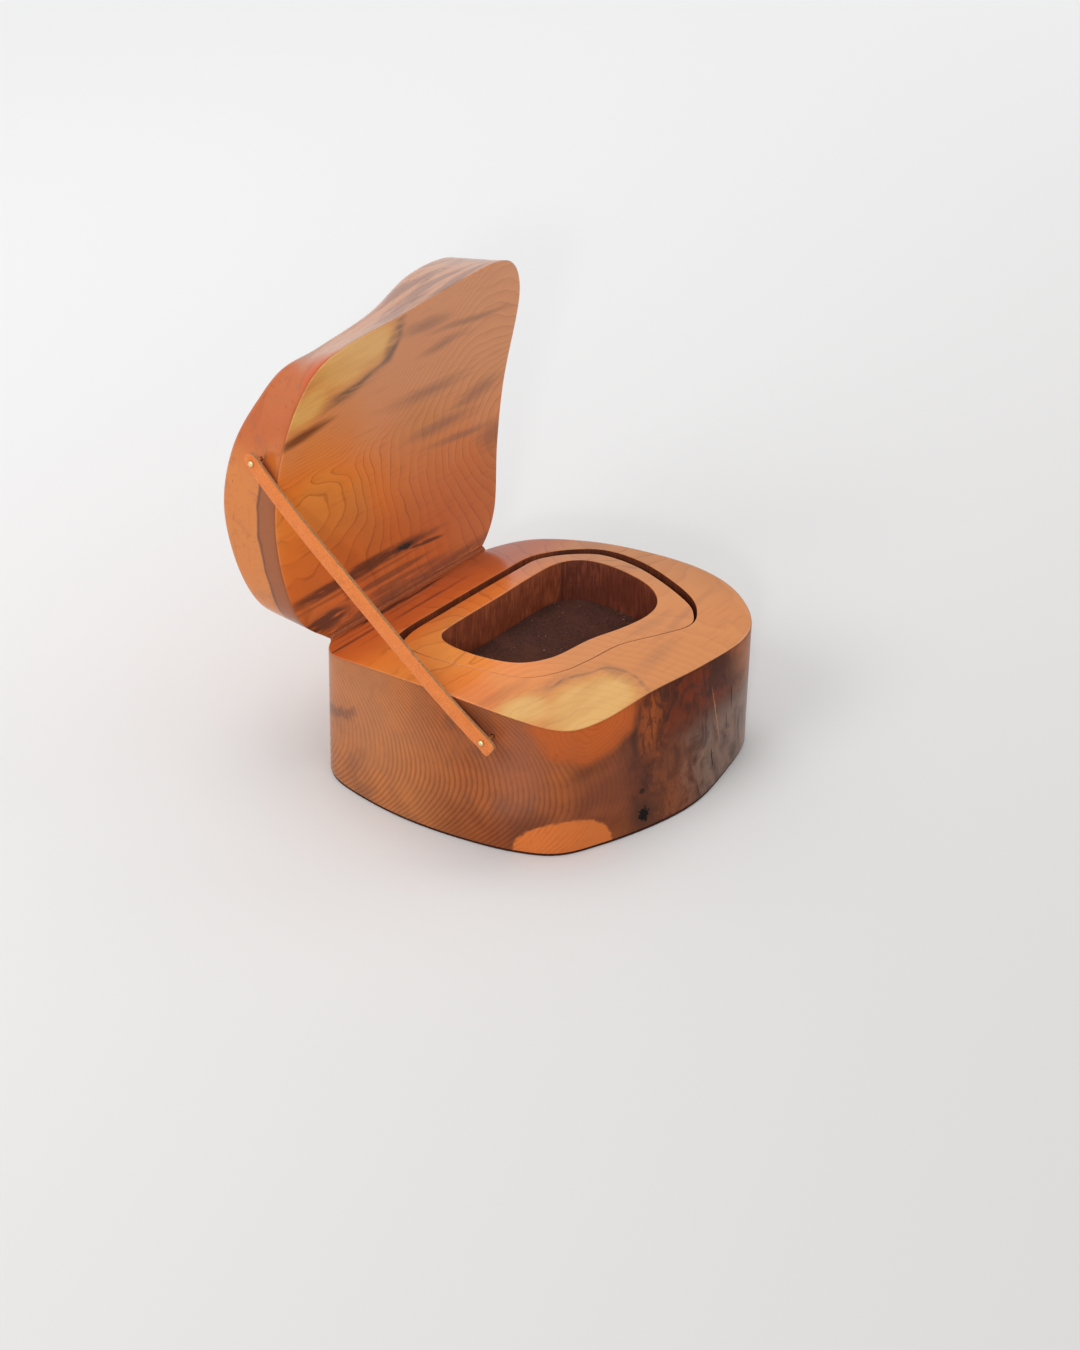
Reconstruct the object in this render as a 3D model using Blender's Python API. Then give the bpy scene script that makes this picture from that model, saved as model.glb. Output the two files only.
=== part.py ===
"""Wooden jewel box: a freeform sawn box with a lift-out tray, a leather hinge and a leather stay strap.

Metres, +Z up. The origin is the middle of the underside, +X runs along the hinge from left to right,
and the front faces -Y. The lid stands open against its strap. One block is sawn through along an
arched cut, so base and lid share one outline and one joint surface.
"""

import math

import bmesh
import bpy
from mathutils import Matrix, Vector

# Driving dimensions of the whole box
BOX_LENGTH = 0.171
BOX_DEPTH = 0.1499
BASE_HEIGHT = 0.065
ARCH_RISE = 0.0128
FRONT_RAKE = 0.0125
LID_OPEN_ANGLE = math.radians(93.0)

# General fits and the reach of cutters past what they cut
CLEARANCE = 0.0003
OVERRUN = 0.012

# Lid: heights above the hinge line of its highest rim and of its middle, and the lean of its wall
LID_RIM_HEIGHT = 0.050
LID_MIDDLE_HEIGHT = 0.047
LID_EASE = 0.0075
LID_ROUNDING = 0.0035

# Base slices
UNDERLAY_THICKNESS = 0.0010
UNDERLAY_INSET = 0.0005
FLOOR_THICKNESS = 0.0080
FOOT_ROUNDING = 0.0008

# Tray, its seat and the linings
TRAY_GAP = 0.0048
TRAY_HAIRLINE = 0.0005
TRAY_DROP = 0.0003
TRAY_BELOW_HINGE = 0.0160
TRAY_FLOOR_THICKNESS = 0.0040
LINING_THICKNESS = 0.0010
LINING_INSET = 0.0004

# Leather hinge, let into a kerf in each half
HINGE_INSET = 0.0045
HINGE_LEATHER_THICKNESS = 0.0022
HINGE_LEATHER_DEPTH = 0.0095
HINGE_BEND_RADIUS = 0.0015
HINGE_END_PROUD = 0.0008

# Stay strap
STRAP_WIDTH = 0.0075
STRAP_THICKNESS = 0.0018
STRAP_EDGE_CLEARANCE = 0.0005
STRAP_BASE_STANDOFF = 0.0056
STRAP_LID_STANDOFF = 0.0021
STRAP_BASE_TAIL = 0.0060
STRAP_LID_TAIL = 0.0050

# Brass pins that hold the strap
PIN_HEAD_RADIUS = 0.0015
PIN_HEAD_HEIGHT = 0.0010
PIN_SHANK_RADIUS = 0.00075
PIN_IN_WOOD = 0.0090
PIN_POINT = 0.0015
BASE_PIN_BELOW_JOINT = 0.0135
LID_PIN_ABOVE_JOINT = 0.0141

# The support ring's opening and the lid's flat rings, as shares of their outlines
SUPPORT_OPENING_SHARE = 0.84
LID_RING_SHARES = (0.93, 0.80, 0.62, 0.40, 0.18)

# Places along the depth, as shares of the reach from the hinge to the front edge of the joint
BASE_PIN_SHARE = 0.7265
LID_PIN_SHARE = 0.615
RAKE_START_SHARE = 0.55
RAKE_END_SHARE = 0.90

# Direction of the tray's saw gap, and how far outlines face it where the gap starts and is full
GAP_DIRECTION = Vector((0.6, 0.8))
GAP_START_SHARE = -0.8
GAP_FULL_SHARE = 0.6

# Along the strap: where it passes the base's edge, and how far its ends tilt against the pins
STRAP_EDGE_SHARE = 0.22
PIN_TILT_SHARE = 0.2

# The strap's cut lower end: its width, and where its corners are, as shares of the width and the tail
STRAP_CUT_WIDTH_SHARE = 0.5
STRAP_CORNER_SHARE = 0.75

# Across the front: where the rake is full and how far it reaches, as shares of half the length
RAKE_CENTRE_SHARE = 0.065
RAKE_REACH_SHARE = 0.82

# Outlines, as shares of half the length and half the depth, anticlockwise from the hinge's right end.
# The block's rows add the lid's rim height and the lean of its wall, as shares of the largest ones.
BLOCK_SHARES = (
    (0.263, 1.000, 0.54, 0.13), (-0.415, 1.000, 0.54, 0.13), (-0.637, 0.977, 0.56, 0.16),
    (-0.813, 0.907, 0.58, 0.16), (-0.942, 0.753, 0.71, 0.13), (-0.987, 0.473, 0.88, 0.13),
    (-0.985, 0.113, 1.00, 0.30), (-0.928, -0.261, 0.97, 0.67), (-0.832, -0.600, 0.76, 0.84),
    (-0.694, -0.834, 0.59, 0.96), (-0.462, -0.919, 0.46, 0.88), (-0.053, -0.941, 0.45, 0.44),
    (0.345, -0.979, 0.59, 0.20), (0.708, -0.984, 0.70, 0.73), (0.889, -0.888, 0.70, 0.80),
    (0.990, -0.674, 0.74, 0.67), (0.990, -0.408, 0.80, 0.53), (0.900, -0.015, 0.86, 0.40),
    (0.808, 0.356, 0.80, 0.33), (0.686, 0.745, 0.66, 0.27), (0.485, 0.948, 0.56, 0.20),
)
POCKET_SHARES = (
    (0.300, 0.553), (0.000, 0.560), (-0.300, 0.562), (-0.560, 0.556), (-0.680, 0.490),
    (-0.727, 0.330), (-0.722, 0.120), (-0.672, -0.087), (-0.544, -0.374), (-0.345, -0.494),
    (-0.146, -0.534), (0.088, -0.561), (0.333, -0.654), (0.520, -0.712), (0.640, -0.672),
    (0.730, -0.540), (0.778, -0.255), (0.789, -0.040), (0.763, 0.179), (0.684, 0.340),
    (0.580, 0.468), (0.470, 0.540),
)
CAVITY_SHARES = (
    (0.300, 0.342), (0.000, 0.337), (-0.400, 0.334), (-0.515, 0.290), (-0.561, 0.150),
    (-0.544, -0.061), (-0.454, -0.257), (-0.276, -0.364), (-0.006, -0.401), (0.216, -0.458),
    (0.400, -0.482), (0.530, -0.450), (0.612, -0.350), (0.645, -0.196), (0.641, 0.073),
    (0.590, 0.240), (0.480, 0.325),
)

# Fineness of the curves: steps between outline points, strips of the arched cut, steps of a rounding
OUTLINE_STEPS = 5
ARCH_STRIPS = 30
ROUNDING_STEPS = 3
BEND_STEPS = 6
STRAP_STEPS = 20
STRAP_END_STEPS = 4
PIN_SIDES = 20
SHARP_ANGLE = math.radians(30.0)
WELD_SHARE = 0.02

HINGE_Y = BOX_DEPTH / 2 - HINGE_INSET
JOINT_REACH = BOX_DEPTH - HINGE_INSET
BLOCK_FOOT = UNDERLAY_THICKNESS + CLEARANCE + FLOOR_THICKNESS + CLEARANCE
TRAY_FOOT = BASE_HEIGHT - TRAY_BELOW_HINGE
HINGE_AXIS = Vector((0, HINGE_Y, BASE_HEIGHT))


# Curves and heights

def smoothstep(value):
    value = min(max(value, 0), 1)
    return value * value * (3 - 2 * value)


def smooth_rows(table):
    """Rows of a closed table with smooth steps between them."""
    rows = [Vector(row) for row in table]
    count = len(rows)
    smooth = []
    for index in range(count):
        before, start, end, after = (rows[(index + k) % count] for k in (-1, 0, 1, 2))
        for step in range(OUTLINE_STEPS):
            t = step / OUTLINE_STEPS
            row = start * 2 + (end - before) * t
            row += (before * 2 - start * 5 + end * 4 - after) * t ** 2
            row += (start * 3 - before - end * 3 + after) * t ** 3
            smooth.append(row / 2)
    return smooth


def outline(rows):
    """Closed outline through rows that start with shares of the half length and half depth."""
    return [Vector((row[0] * BOX_LENGTH / 2, row[1] * BOX_DEPTH / 2)) for row in rows]


def outward(loop):
    """Outward normal at each point of an anticlockwise outline."""
    normals = []
    for index, _ in enumerate(loop):
        along = loop[(index + 1) % len(loop)] - loop[index - 1]
        normals.append(Vector((along.y, -along.x)).normalized())
    return normals


def inset(loop, distance):
    """Outline moved inwards by a distance, or by one distance for each point."""
    distances = distance if isinstance(distance, list) else [distance] * len(loop)
    return [p - n * d for p, n, d in zip(loop, outward(loop), distances)]


def shrunk(loop, share):
    """Outline scaled about its middle."""
    middle = sum(loop, Vector((0, 0))) / len(loop)
    return [middle + (p - middle) * share for p in loop]


def joint_reach(y):
    """Share of the way from the hinge to the front edge of the joint."""
    return (HINGE_Y - y) / JOINT_REACH


def joint_height(y):
    """Height of the arched saw cut, which runs straight along X."""
    reach = joint_reach(y)
    return BASE_HEIGHT + ARCH_RISE * 4 * reach * (1 - reach)


def raked(point, height):
    """Wall point at a height: the front wall leans back from its foot to the joint."""
    across = (point.x / (BOX_LENGTH / 2) - RAKE_CENTRE_SHARE) / RAKE_REACH_SHARE
    if abs(across) >= 1:
        return Vector((point.x, point.y, height))
    reach = joint_reach(point.y)
    front = smoothstep((reach - RAKE_START_SHARE) / (RAKE_END_SHARE - RAKE_START_SHARE))
    lean = FRONT_RAKE * front * math.cos(math.pi / 2 * across) ** 2
    return Vector((point.x, point.y - lean * (1 - height / BASE_HEIGHT), height))


def flat_backed(loop):
    """Block outline with its back sawn flat."""
    return [Vector((p.x, min(p.y, BOX_DEPTH / 2))) for p in loop]


BLOCK_ROWS = smooth_rows(BLOCK_SHARES)
BLOCK_LOOP = flat_backed(outline(BLOCK_ROWS))
POCKET_LOOP = outline(smooth_rows(POCKET_SHARES))
CAVITY_LOOP = outline(smooth_rows(CAVITY_SHARES))


def tray_loop():
    """Tray outline: close to the pocket at the front and left, with the saw gap at the back and right."""
    gaps = []
    for normal in outward(POCKET_LOOP):
        facing = normal.dot(GAP_DIRECTION)
        share = smoothstep((facing - GAP_START_SHARE) / (GAP_FULL_SHARE - GAP_START_SHARE))
        gaps.append(TRAY_HAIRLINE + (TRAY_GAP - TRAY_HAIRLINE) * share)
    return inset(POCKET_LOOP, gaps)


TRAY_LOOP = tray_loop()


def left_wall(y):
    """X of the block's left wall at a depth, at the height of the joint."""
    crossings = []
    for start, end in zip(BLOCK_LOOP, BLOCK_LOOP[1:] + BLOCK_LOOP[:1]):
        if (start.y - y) * (end.y - y) <= 0 and start.y != end.y:
            crossings.append(start.x + (end.x - start.x) * (y - start.y) / (end.y - start.y))
    return min(crossings)


# Object helpers

def clear_scene():
    for old in list(bpy.data.objects):
        bpy.data.objects.remove(old)


def material(name, color, roughness, metallic=0.0):
    made = bpy.data.materials.new(name)
    made.use_nodes = True
    shader = made.node_tree.nodes["Principled BSDF"]
    shader.inputs["Base Color"].default_value = (*color, 1.0)
    shader.inputs["Roughness"].default_value = roughness
    shader.inputs["Metallic"].default_value = metallic
    return made


def add_object(name, bm, parent=None):
    """Turns a bmesh in world coordinates into an object whose origin is its parent's."""
    bmesh.ops.recalc_face_normals(bm, faces=bm.faces)
    if parent is not None:
        bmesh.ops.translate(bm, verts=bm.verts, vec=-parent.location)
    mesh = bpy.data.meshes.new(name)
    bm.to_mesh(mesh)
    bm.free()
    mesh.shade_smooth()
    mesh.set_sharp_from_angle(angle=SHARP_ANGLE)
    made = bpy.data.objects.new(name, mesh)
    bpy.context.scene.collection.objects.link(made)
    made.parent = parent
    return made


def loft(rings, cap_end=True):
    """Bmesh skin over rings of equal length, closed at its start and, where asked, at its end."""
    bm = bmesh.new()
    rows = [[bm.verts.new(point) for point in ring] for ring in rings]
    count = len(rows[0])
    for low, high in zip(rows, rows[1:]):
        for index in range(count):
            following = (index + 1) % count
            bm.faces.new((low[index], low[following], high[following], high[index]))
    bm.faces.new(list(reversed(rows[0])))
    if cap_end:
        bm.faces.new(rows[-1])
    return bm


def close_with_fan(bm, ring, tip):
    """Closes a loft whose last ring was left open with triangles to a middle point."""
    bm.verts.ensure_lookup_table()
    rim = bm.verts[len(bm.verts) - len(ring):]
    middle = bm.verts.new(tip)
    for start, end in zip(rim, rim[1:] + rim[:1]):
        bm.faces.new((start, end, middle))
    return bm


def upright(loop, low, high):
    """Bmesh of an outline sawn straight up and down between two heights."""
    return loft([[Vector((p.x, p.y, z)) for p in loop] for z in (low, high)])


def along_hinge(profile, left, right):
    """Bmesh of a (y, z) profile run along X."""
    return loft([[Vector((x, y, z)) for y, z in profile] for x in (left, right)])


def turned(profile):
    """Bmesh turned round X from (x, radius) points, whose first and last radius are zero."""
    bm = bmesh.new()
    edges = []
    verts = [bm.verts.new((x, 0, radius)) for x, radius in profile]
    for start, end in zip(verts, verts[1:]):
        edges.append(bm.edges.new((start, end)))
    bmesh.ops.spin(bm, geom=verts + edges, cent=(0, 0, 0), axis=(1, 0, 0), angle=math.tau,
                   steps=PIN_SIDES, use_duplicate=False)
    bmesh.ops.remove_doubles(bm, verts=bm.verts, dist=PIN_SHANK_RADIUS * WELD_SHARE)
    return bm


def cut(target, cutter):
    """Takes the cutter's shape out of the target and hides the cutter."""
    modifier = target.modifiers.new(cutter.name, "BOOLEAN")
    modifier.operation = "DIFFERENCE"
    modifier.solver = "EXACT"
    modifier.object = cutter
    cutter.hide_render = True
    cutter.display_type = "WIRE"


# Cutters

def saw_cut(name, above, offset, parent=None):
    """Cutter for one side of the arched saw cut, which stands off the joint by an offset."""
    start = -BOX_DEPTH / 2 - FRONT_RAKE - OVERRUN
    end = BOX_DEPTH / 2 + OVERRUN
    ys = [start + (end - start) * step / ARCH_STRIPS for step in range(ARCH_STRIPS + 1)]
    far = BASE_HEIGHT + ARCH_RISE + LID_RIM_HEIGHT if above else -OVERRUN
    profile = [(y, joint_height(y) + offset) for y in ys]
    profile += [(ys[-1], far), (ys[0], far)]
    half = BOX_LENGTH / 2 + OVERRUN
    return add_object(name, along_hinge(profile, -half, half), parent)


def hinge_kerf(name, side, parent=None):
    """Cutter for the kerf that takes the hinge leather, down into the base or up into the lid."""
    half = HINGE_LEATHER_THICKNESS / 2 + CLEARANCE
    deep = BASE_HEIGHT + side * (HINGE_LEATHER_DEPTH + CLEARANCE)
    open_end = BASE_HEIGHT - side * OVERRUN / 2
    profile = [(HINGE_Y - half, deep), (HINGE_Y + half, deep), (HINGE_Y + half, open_end),
               (HINGE_Y - half, open_end)]
    reach = BOX_LENGTH / 2 + OVERRUN
    return add_object(name, along_hinge(profile, -reach, reach), parent)


def hinge_bevel(name, side, parent=None):
    """Cutter for the bevel behind the hinge, half the opening angle, so that the halves meet when open."""
    depth = HINGE_INSET + OVERRUN
    slope = math.tan(LID_OPEN_ANGLE / 2)
    start = BASE_HEIGHT + side * CLEARANCE
    profile = [(HINGE_Y, start), (HINGE_Y + depth, start + side * depth * slope),
               (HINGE_Y + depth, BASE_HEIGHT - side * OVERRUN), (HINGE_Y, BASE_HEIGHT - side * OVERRUN)]
    reach = BOX_LENGTH / 2 + OVERRUN
    return add_object(name, along_hinge(profile, -reach, reach), parent)


def shank_hole(name, place, left, right, parent=None):
    """Cutter for a hole along X that clears a pin's shank."""
    radius = PIN_SHANK_RADIUS + CLEARANCE
    profile = []
    for side in range(PIN_SIDES):
        angle = math.tau * side / PIN_SIDES
        profile.append((place.y + radius * math.cos(angle), place.z + radius * math.sin(angle)))
    return add_object(name, along_hinge(profile, left, right), parent)


def pin_hole(name, place, parent=None):
    """Cutter for a pin's blind hole, which runs from outside the left wall into the wood."""
    depth = left_wall(place.y) + PIN_IN_WOOD + CLEARANCE
    return shank_hole(name, place, place.x - OVERRUN, depth, parent)


# Places of the two pins: the middle of the strap's thickness, with the lid closed

def pin_place(share, from_joint, standoff):
    y = HINGE_Y - share * JOINT_REACH
    x = left_wall(y) - standoff - STRAP_THICKNESS / 2
    return Vector((x, y, joint_height(y) + from_joint))


BASE_PIN = pin_place(BASE_PIN_SHARE, -BASE_PIN_BELOW_JOINT, STRAP_BASE_STANDOFF)
LID_PIN = pin_place(LID_PIN_SHARE, LID_PIN_ABOVE_JOINT, STRAP_LID_STANDOFF)


def opened(point):
    """Where a point of the closed lid lies with the lid open."""
    turn = Matrix.Rotation(-LID_OPEN_ANGLE, 3, "X")
    return HINGE_AXIS + turn @ (point - HINGE_AXIS)


# Sub-parts of the base

def base_underlay():
    """Thin sheet under the whole base, a little inside the wood's foot."""
    loop = inset([raked(p, 0).xy for p in BLOCK_LOOP], UNDERLAY_INSET)
    return add_object("base_underlay", upright(loop, 0, UNDERLAY_THICKNESS))


def base_floor():
    """Slice glued back under the sawn-through pocket, with its lower edge eased."""
    low = UNDERLAY_THICKNESS + CLEARANCE
    high = low + FLOOR_THICKNESS
    eased = [raked(p, low) for p in inset(BLOCK_LOOP, FOOT_ROUNDING)]
    wall_foot = [raked(p, low + FOOT_ROUNDING) for p in BLOCK_LOOP]
    wall_head = [raked(p, high) for p in BLOCK_LOOP]
    return add_object("base_floor", loft([eased, wall_foot, wall_head]))


def base_block():
    """The sawn body: the raked block, cut by the arch, the pocket, the hinge kerf and the pin hole."""
    head = BASE_HEIGHT + ARCH_RISE + OVERRUN / 2
    block = add_object("base_block", loft([[raked(p, z) for p in BLOCK_LOOP] for z in (BLOCK_FOOT, head)]))
    cut(block, saw_cut("saw_cut_base", True, -CLEARANCE))
    cut(block, add_object("pocket_cut", upright(POCKET_LOOP, BLOCK_FOOT - OVERRUN, head + OVERRUN)))
    cut(block, hinge_kerf("kerf_cut_base", -1))
    cut(block, hinge_bevel("bevel_cut_base", -1))
    cut(block, pin_hole("pin_hole_base", BASE_PIN))
    return block


def tray_support():
    """Ring that stands on the base's floor against the pocket wall and carries the tray."""
    low = BLOCK_FOOT
    high = TRAY_FOOT - CLEARANCE
    ring = add_object("tray_support", upright(inset(POCKET_LOOP, CLEARANCE), low, high))
    inner = shrunk(POCKET_LOOP, SUPPORT_OPENING_SHARE)
    cut(ring, add_object("support_cut", upright(inner, low - OVERRUN, high + OVERRUN)))
    return ring


def pocket_lining():
    loop = inset(shrunk(POCKET_LOOP, SUPPORT_OPENING_SHARE), LINING_INSET)
    return add_object("pocket_lining", upright(loop, BLOCK_FOOT, BLOCK_FOOT + LINING_THICKNESS))


# Sub-parts of the tray

def tray_body():
    """Rim and walls of the tray, with the kidney-shaped cavity sawn right through."""
    low = TRAY_FOOT + TRAY_FLOOR_THICKNESS + CLEARANCE
    head = BASE_HEIGHT + ARCH_RISE + OVERRUN / 2
    body = add_object("tray_body", upright(TRAY_LOOP, low, head))
    cut(body, saw_cut("saw_cut_tray", True, -CLEARANCE - TRAY_DROP))
    cut(body, add_object("cavity_cut", upright(CAVITY_LOOP, low - OVERRUN, head + OVERRUN)))
    return body


def tray_floor():
    return add_object("tray_floor", upright(TRAY_LOOP, TRAY_FOOT, TRAY_FOOT + TRAY_FLOOR_THICKNESS))


def tray_lining():
    low = TRAY_FOOT + TRAY_FLOOR_THICKNESS + CLEARANCE
    return add_object("tray_lining", upright(inset(CAVITY_LOOP, LINING_INSET), low, low + LINING_THICKNESS))


# Sub-parts of the lid

def lid_rim():
    """Where the closed lid's wall ends and its outer face starts."""
    rim = []
    for point, normal, row in zip(BLOCK_LOOP, outward(BLOCK_LOOP), BLOCK_ROWS):
        inner = point - normal * LID_EASE * row[3]
        rim.append(Vector((inner.x, inner.y, BASE_HEIGHT + LID_RIM_HEIGHT * row[2])))
    return rim


def lid_face_point(rim_point, share):
    """Point of the outer face on the way from its middle to its rim, domed over the middle."""
    middle = BASE_HEIGHT + LID_MIDDLE_HEIGHT
    height = middle + (rim_point.z - middle) * share ** 2
    return Vector((rim_point.x * share, rim_point.y * share, height))


def lid_block(hinge):
    """The sawn-off top of the block: leaning wall, eased outer edge and a domed, swaying outer face."""
    rim = lid_rim()
    rings = [
        [raked(p, BASE_HEIGHT - OVERRUN / 2) for p in BLOCK_LOOP],
        [raked(p, joint_height(p.y)) for p in BLOCK_LOOP],
    ]
    for step in range(ROUNDING_STEPS + 1):
        angle = math.pi / 2 * step / ROUNDING_STEPS
        ring = []
        for point in rim:
            eased = lid_face_point(point, 1 - LID_ROUNDING * (1 - math.cos(angle)) / point.xy.length)
            ring.append(eased - Vector((0, 0, LID_ROUNDING * (1 - math.sin(angle)))))
        rings.append(ring)
    for share in LID_RING_SHARES:
        rings.append([lid_face_point(point, share) for point in rim])
    skin = close_with_fan(loft(rings, cap_end=False), rim, lid_face_point(rim[0], 0))
    block = add_object("lid_block", skin, hinge)
    cut(block, saw_cut("saw_cut_lid", False, CLEARANCE, hinge))
    cut(block, hinge_kerf("kerf_cut_lid", 1, hinge))
    cut(block, hinge_bevel("bevel_cut_lid", 1, hinge))
    cut(block, pin_hole("pin_hole_lid", LID_PIN, hinge))
    return block


# Leather and brass

def hinge_leather():
    """Strip bent over the hinge axis: one leg down in the base's kerf, one back in the open lid's kerf."""
    tangent = HINGE_BEND_RADIUS * math.tan(LID_OPEN_ANGLE / 2)
    bend_y = HINGE_BEND_RADIUS
    bend_z = -tangent
    centre_line = [((0, -HINGE_LEATHER_DEPTH), 0)]
    for step in range(BEND_STEPS + 1):
        turn = LID_OPEN_ANGLE * step / BEND_STEPS
        point = (bend_y - HINGE_BEND_RADIUS * math.cos(turn), bend_z + HINGE_BEND_RADIUS * math.sin(turn))
        centre_line.append((point, turn))
    far = (HINGE_LEATHER_DEPTH * math.sin(LID_OPEN_ANGLE), HINGE_LEATHER_DEPTH * math.cos(LID_OPEN_ANGLE))
    centre_line.append((far, LID_OPEN_ANGLE))
    half = HINGE_LEATHER_THICKNESS / 2
    front = []
    back = []
    for (y, z), turn in centre_line:
        front.append((HINGE_Y + y - half * math.cos(turn), BASE_HEIGHT + z + half * math.sin(turn)))
        back.append((HINGE_Y + y + half * math.cos(turn), BASE_HEIGHT + z - half * math.sin(turn)))
    ends = hinge_ends()
    profile = front + list(reversed(back))
    return add_object("hinge_leather", along_hinge(profile, ends[0], ends[1]))


def hinge_ends():
    """Where the hinge line leaves the block at its left and right, a little proud of the wood."""
    crossings = []
    for start, end in zip(BLOCK_LOOP, BLOCK_LOOP[1:] + BLOCK_LOOP[:1]):
        if (start.y - HINGE_Y) * (end.y - HINGE_Y) < 0:
            crossings.append(start.x + (end.x - start.x) * (HINGE_Y - start.y) / (end.y - start.y))
    return min(crossings) - HINGE_END_PROUD, max(crossings) + HINGE_END_PROUD


def strap_stations():
    """Centre points and half widths along the strap, from its cut lower end to its round upper end."""
    low = BASE_PIN
    high = opened(LID_PIN)
    edge = low.lerp(high, STRAP_EDGE_SHARE)
    beside = left_wall(edge.y) - STRAP_EDGE_CLEARANCE - STRAP_THICKNESS / 2
    bow = (edge.x - beside) / (1 - (2 * STRAP_EDGE_SHARE - 1) ** 4)
    along = (high - low).normalized()
    half = STRAP_WIDTH / 2
    stations = [
        (low - along * STRAP_BASE_TAIL, half * STRAP_CUT_WIDTH_SHARE),
        (low - along * STRAP_BASE_TAIL * STRAP_CORNER_SHARE, half),
    ]
    for step in range(STRAP_STEPS + 1):
        t = step / STRAP_STEPS
        point = low.lerp(high, t)
        point.x -= bow * (1 - (2 * t - 1) ** 4)
        stations.append((point, half))
    for step in range(1, STRAP_END_STEPS):
        angle = math.pi / 2 * step / STRAP_END_STEPS
        stations.append((high + along * STRAP_LID_TAIL * math.sin(angle), half * math.cos(angle)))
    return stations


def stay_strap():
    """Flat leather strip from pin to pin, bowed just enough to clear the bulging side."""
    stations = strap_stations()
    rings = []
    for index, (point, half_width) in enumerate(stations):
        before = stations[max(index - 1, 0)][0]
        after = stations[min(index + 1, len(stations) - 1)][0]
        tangent = (after - before).normalized()
        outer = Vector((-1, 0, 0)) + tangent * tangent.x
        outer.normalize()
        across = tangent.cross(outer) * half_width
        thick = outer * STRAP_THICKNESS / 2
        rings.append([point + across + thick, point - across + thick, point - across - thick,
                      point + across - thick])
    strap = add_object("stay_strap", loft(rings))
    for name, place in (("strap_hole_low", BASE_PIN), ("strap_hole_high", opened(LID_PIN))):
        cut(strap, shank_hole(name, place, place.x - STRAP_WIDTH / 2, place.x + STRAP_WIDTH / 2))
    return strap


def strap_pin(name, place, hinge=None):
    """Domed brass pin, driven along X through the strap into the wood."""
    face = -STRAP_THICKNESS / 2 - CLEARANCE - PIN_HEAD_RADIUS * PIN_TILT_SHARE
    tip = left_wall(place.y) - place.x + PIN_IN_WOOD
    profile = [(face - PIN_HEAD_HEIGHT, 0)]
    for step in range(1, ROUNDING_STEPS + 2):
        angle = math.pi / 2 * step / (ROUNDING_STEPS + 1)
        profile.append((face - PIN_HEAD_HEIGHT * math.cos(angle), PIN_HEAD_RADIUS * math.sin(angle)))
    profile += [(face, PIN_SHANK_RADIUS), (tip - PIN_POINT, PIN_SHANK_RADIUS), (tip, 0)]
    bm = turned(profile)
    bmesh.ops.translate(bm, verts=bm.verts, vec=place)
    return add_object(name, bm, hinge)


def build():
    clear_scene()
    hinge = bpy.data.objects.new("lid_hinge", None)
    bpy.context.scene.collection.objects.link(hinge)
    hinge.location = HINGE_AXIS

    yew = material("yew_block", (0.62, 0.26, 0.09), 0.25)
    yew_floor = material("yew_floor", (0.58, 0.27, 0.11), 0.3)
    yew_tray = material("yew_tray", (0.70, 0.34, 0.13), 0.25)
    yew_tray_floor = material("yew_tray_floor", (0.52, 0.25, 0.11), 0.4)
    yew_lid = material("yew_lid", (0.66, 0.30, 0.11), 0.25)
    yew_support = material("yew_support", (0.45, 0.20, 0.09), 0.5)
    suede_underlay = material("underlay_suede", (0.05, 0.04, 0.04), 0.95)
    suede_pocket = material("pocket_suede", (0.07, 0.04, 0.03), 0.95)
    suede_tray = material("tray_suede", (0.08, 0.045, 0.035), 0.95)
    hinge_hide = material("hinge_hide", (0.72, 0.33, 0.18), 0.8)
    strap_hide = material("strap_hide", (0.80, 0.38, 0.13), 0.8)
    brass_low = material("base_pin_brass", (0.80, 0.62, 0.28), 0.25, 1.0)
    brass_high = material("lid_pin_brass", (0.80, 0.62, 0.28), 0.25, 1.0)

    made = (
        (base_underlay(), suede_underlay),
        (base_floor(), yew_floor),
        (base_block(), yew),
        (tray_support(), yew_support),
        (pocket_lining(), suede_pocket),
        (tray_body(), yew_tray),
        (tray_floor(), yew_tray_floor),
        (tray_lining(), suede_tray),
        (lid_block(hinge), yew_lid),
        (hinge_leather(), hinge_hide),
        (stay_strap(), strap_hide),
        (strap_pin("base_strap_pin", BASE_PIN), brass_low),
        (strap_pin("lid_strap_pin", LID_PIN, hinge), brass_high),
    )
    for piece, finish in made:
        piece.data.materials.append(finish)
    hinge.rotation_euler = (-LID_OPEN_ANGLE, 0, 0)
    bpy.context.view_layer.update()


build()
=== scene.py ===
"""Looks of the wooden jewel box, laid out as an add-on with one operator for each piece or pair of pieces.

Metres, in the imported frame: +X along the hinge, the front faces -Y, +Z up. The lid stands open at rest.
The wood's colours are placed in millimetres in the closed block, so base, tray and lid match at the cut.
"""

import math

import bmesh
import bpy
from bpy.props import FloatProperty, FloatVectorProperty, PointerProperty
from mathutils import Matrix, Vector, noise


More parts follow.
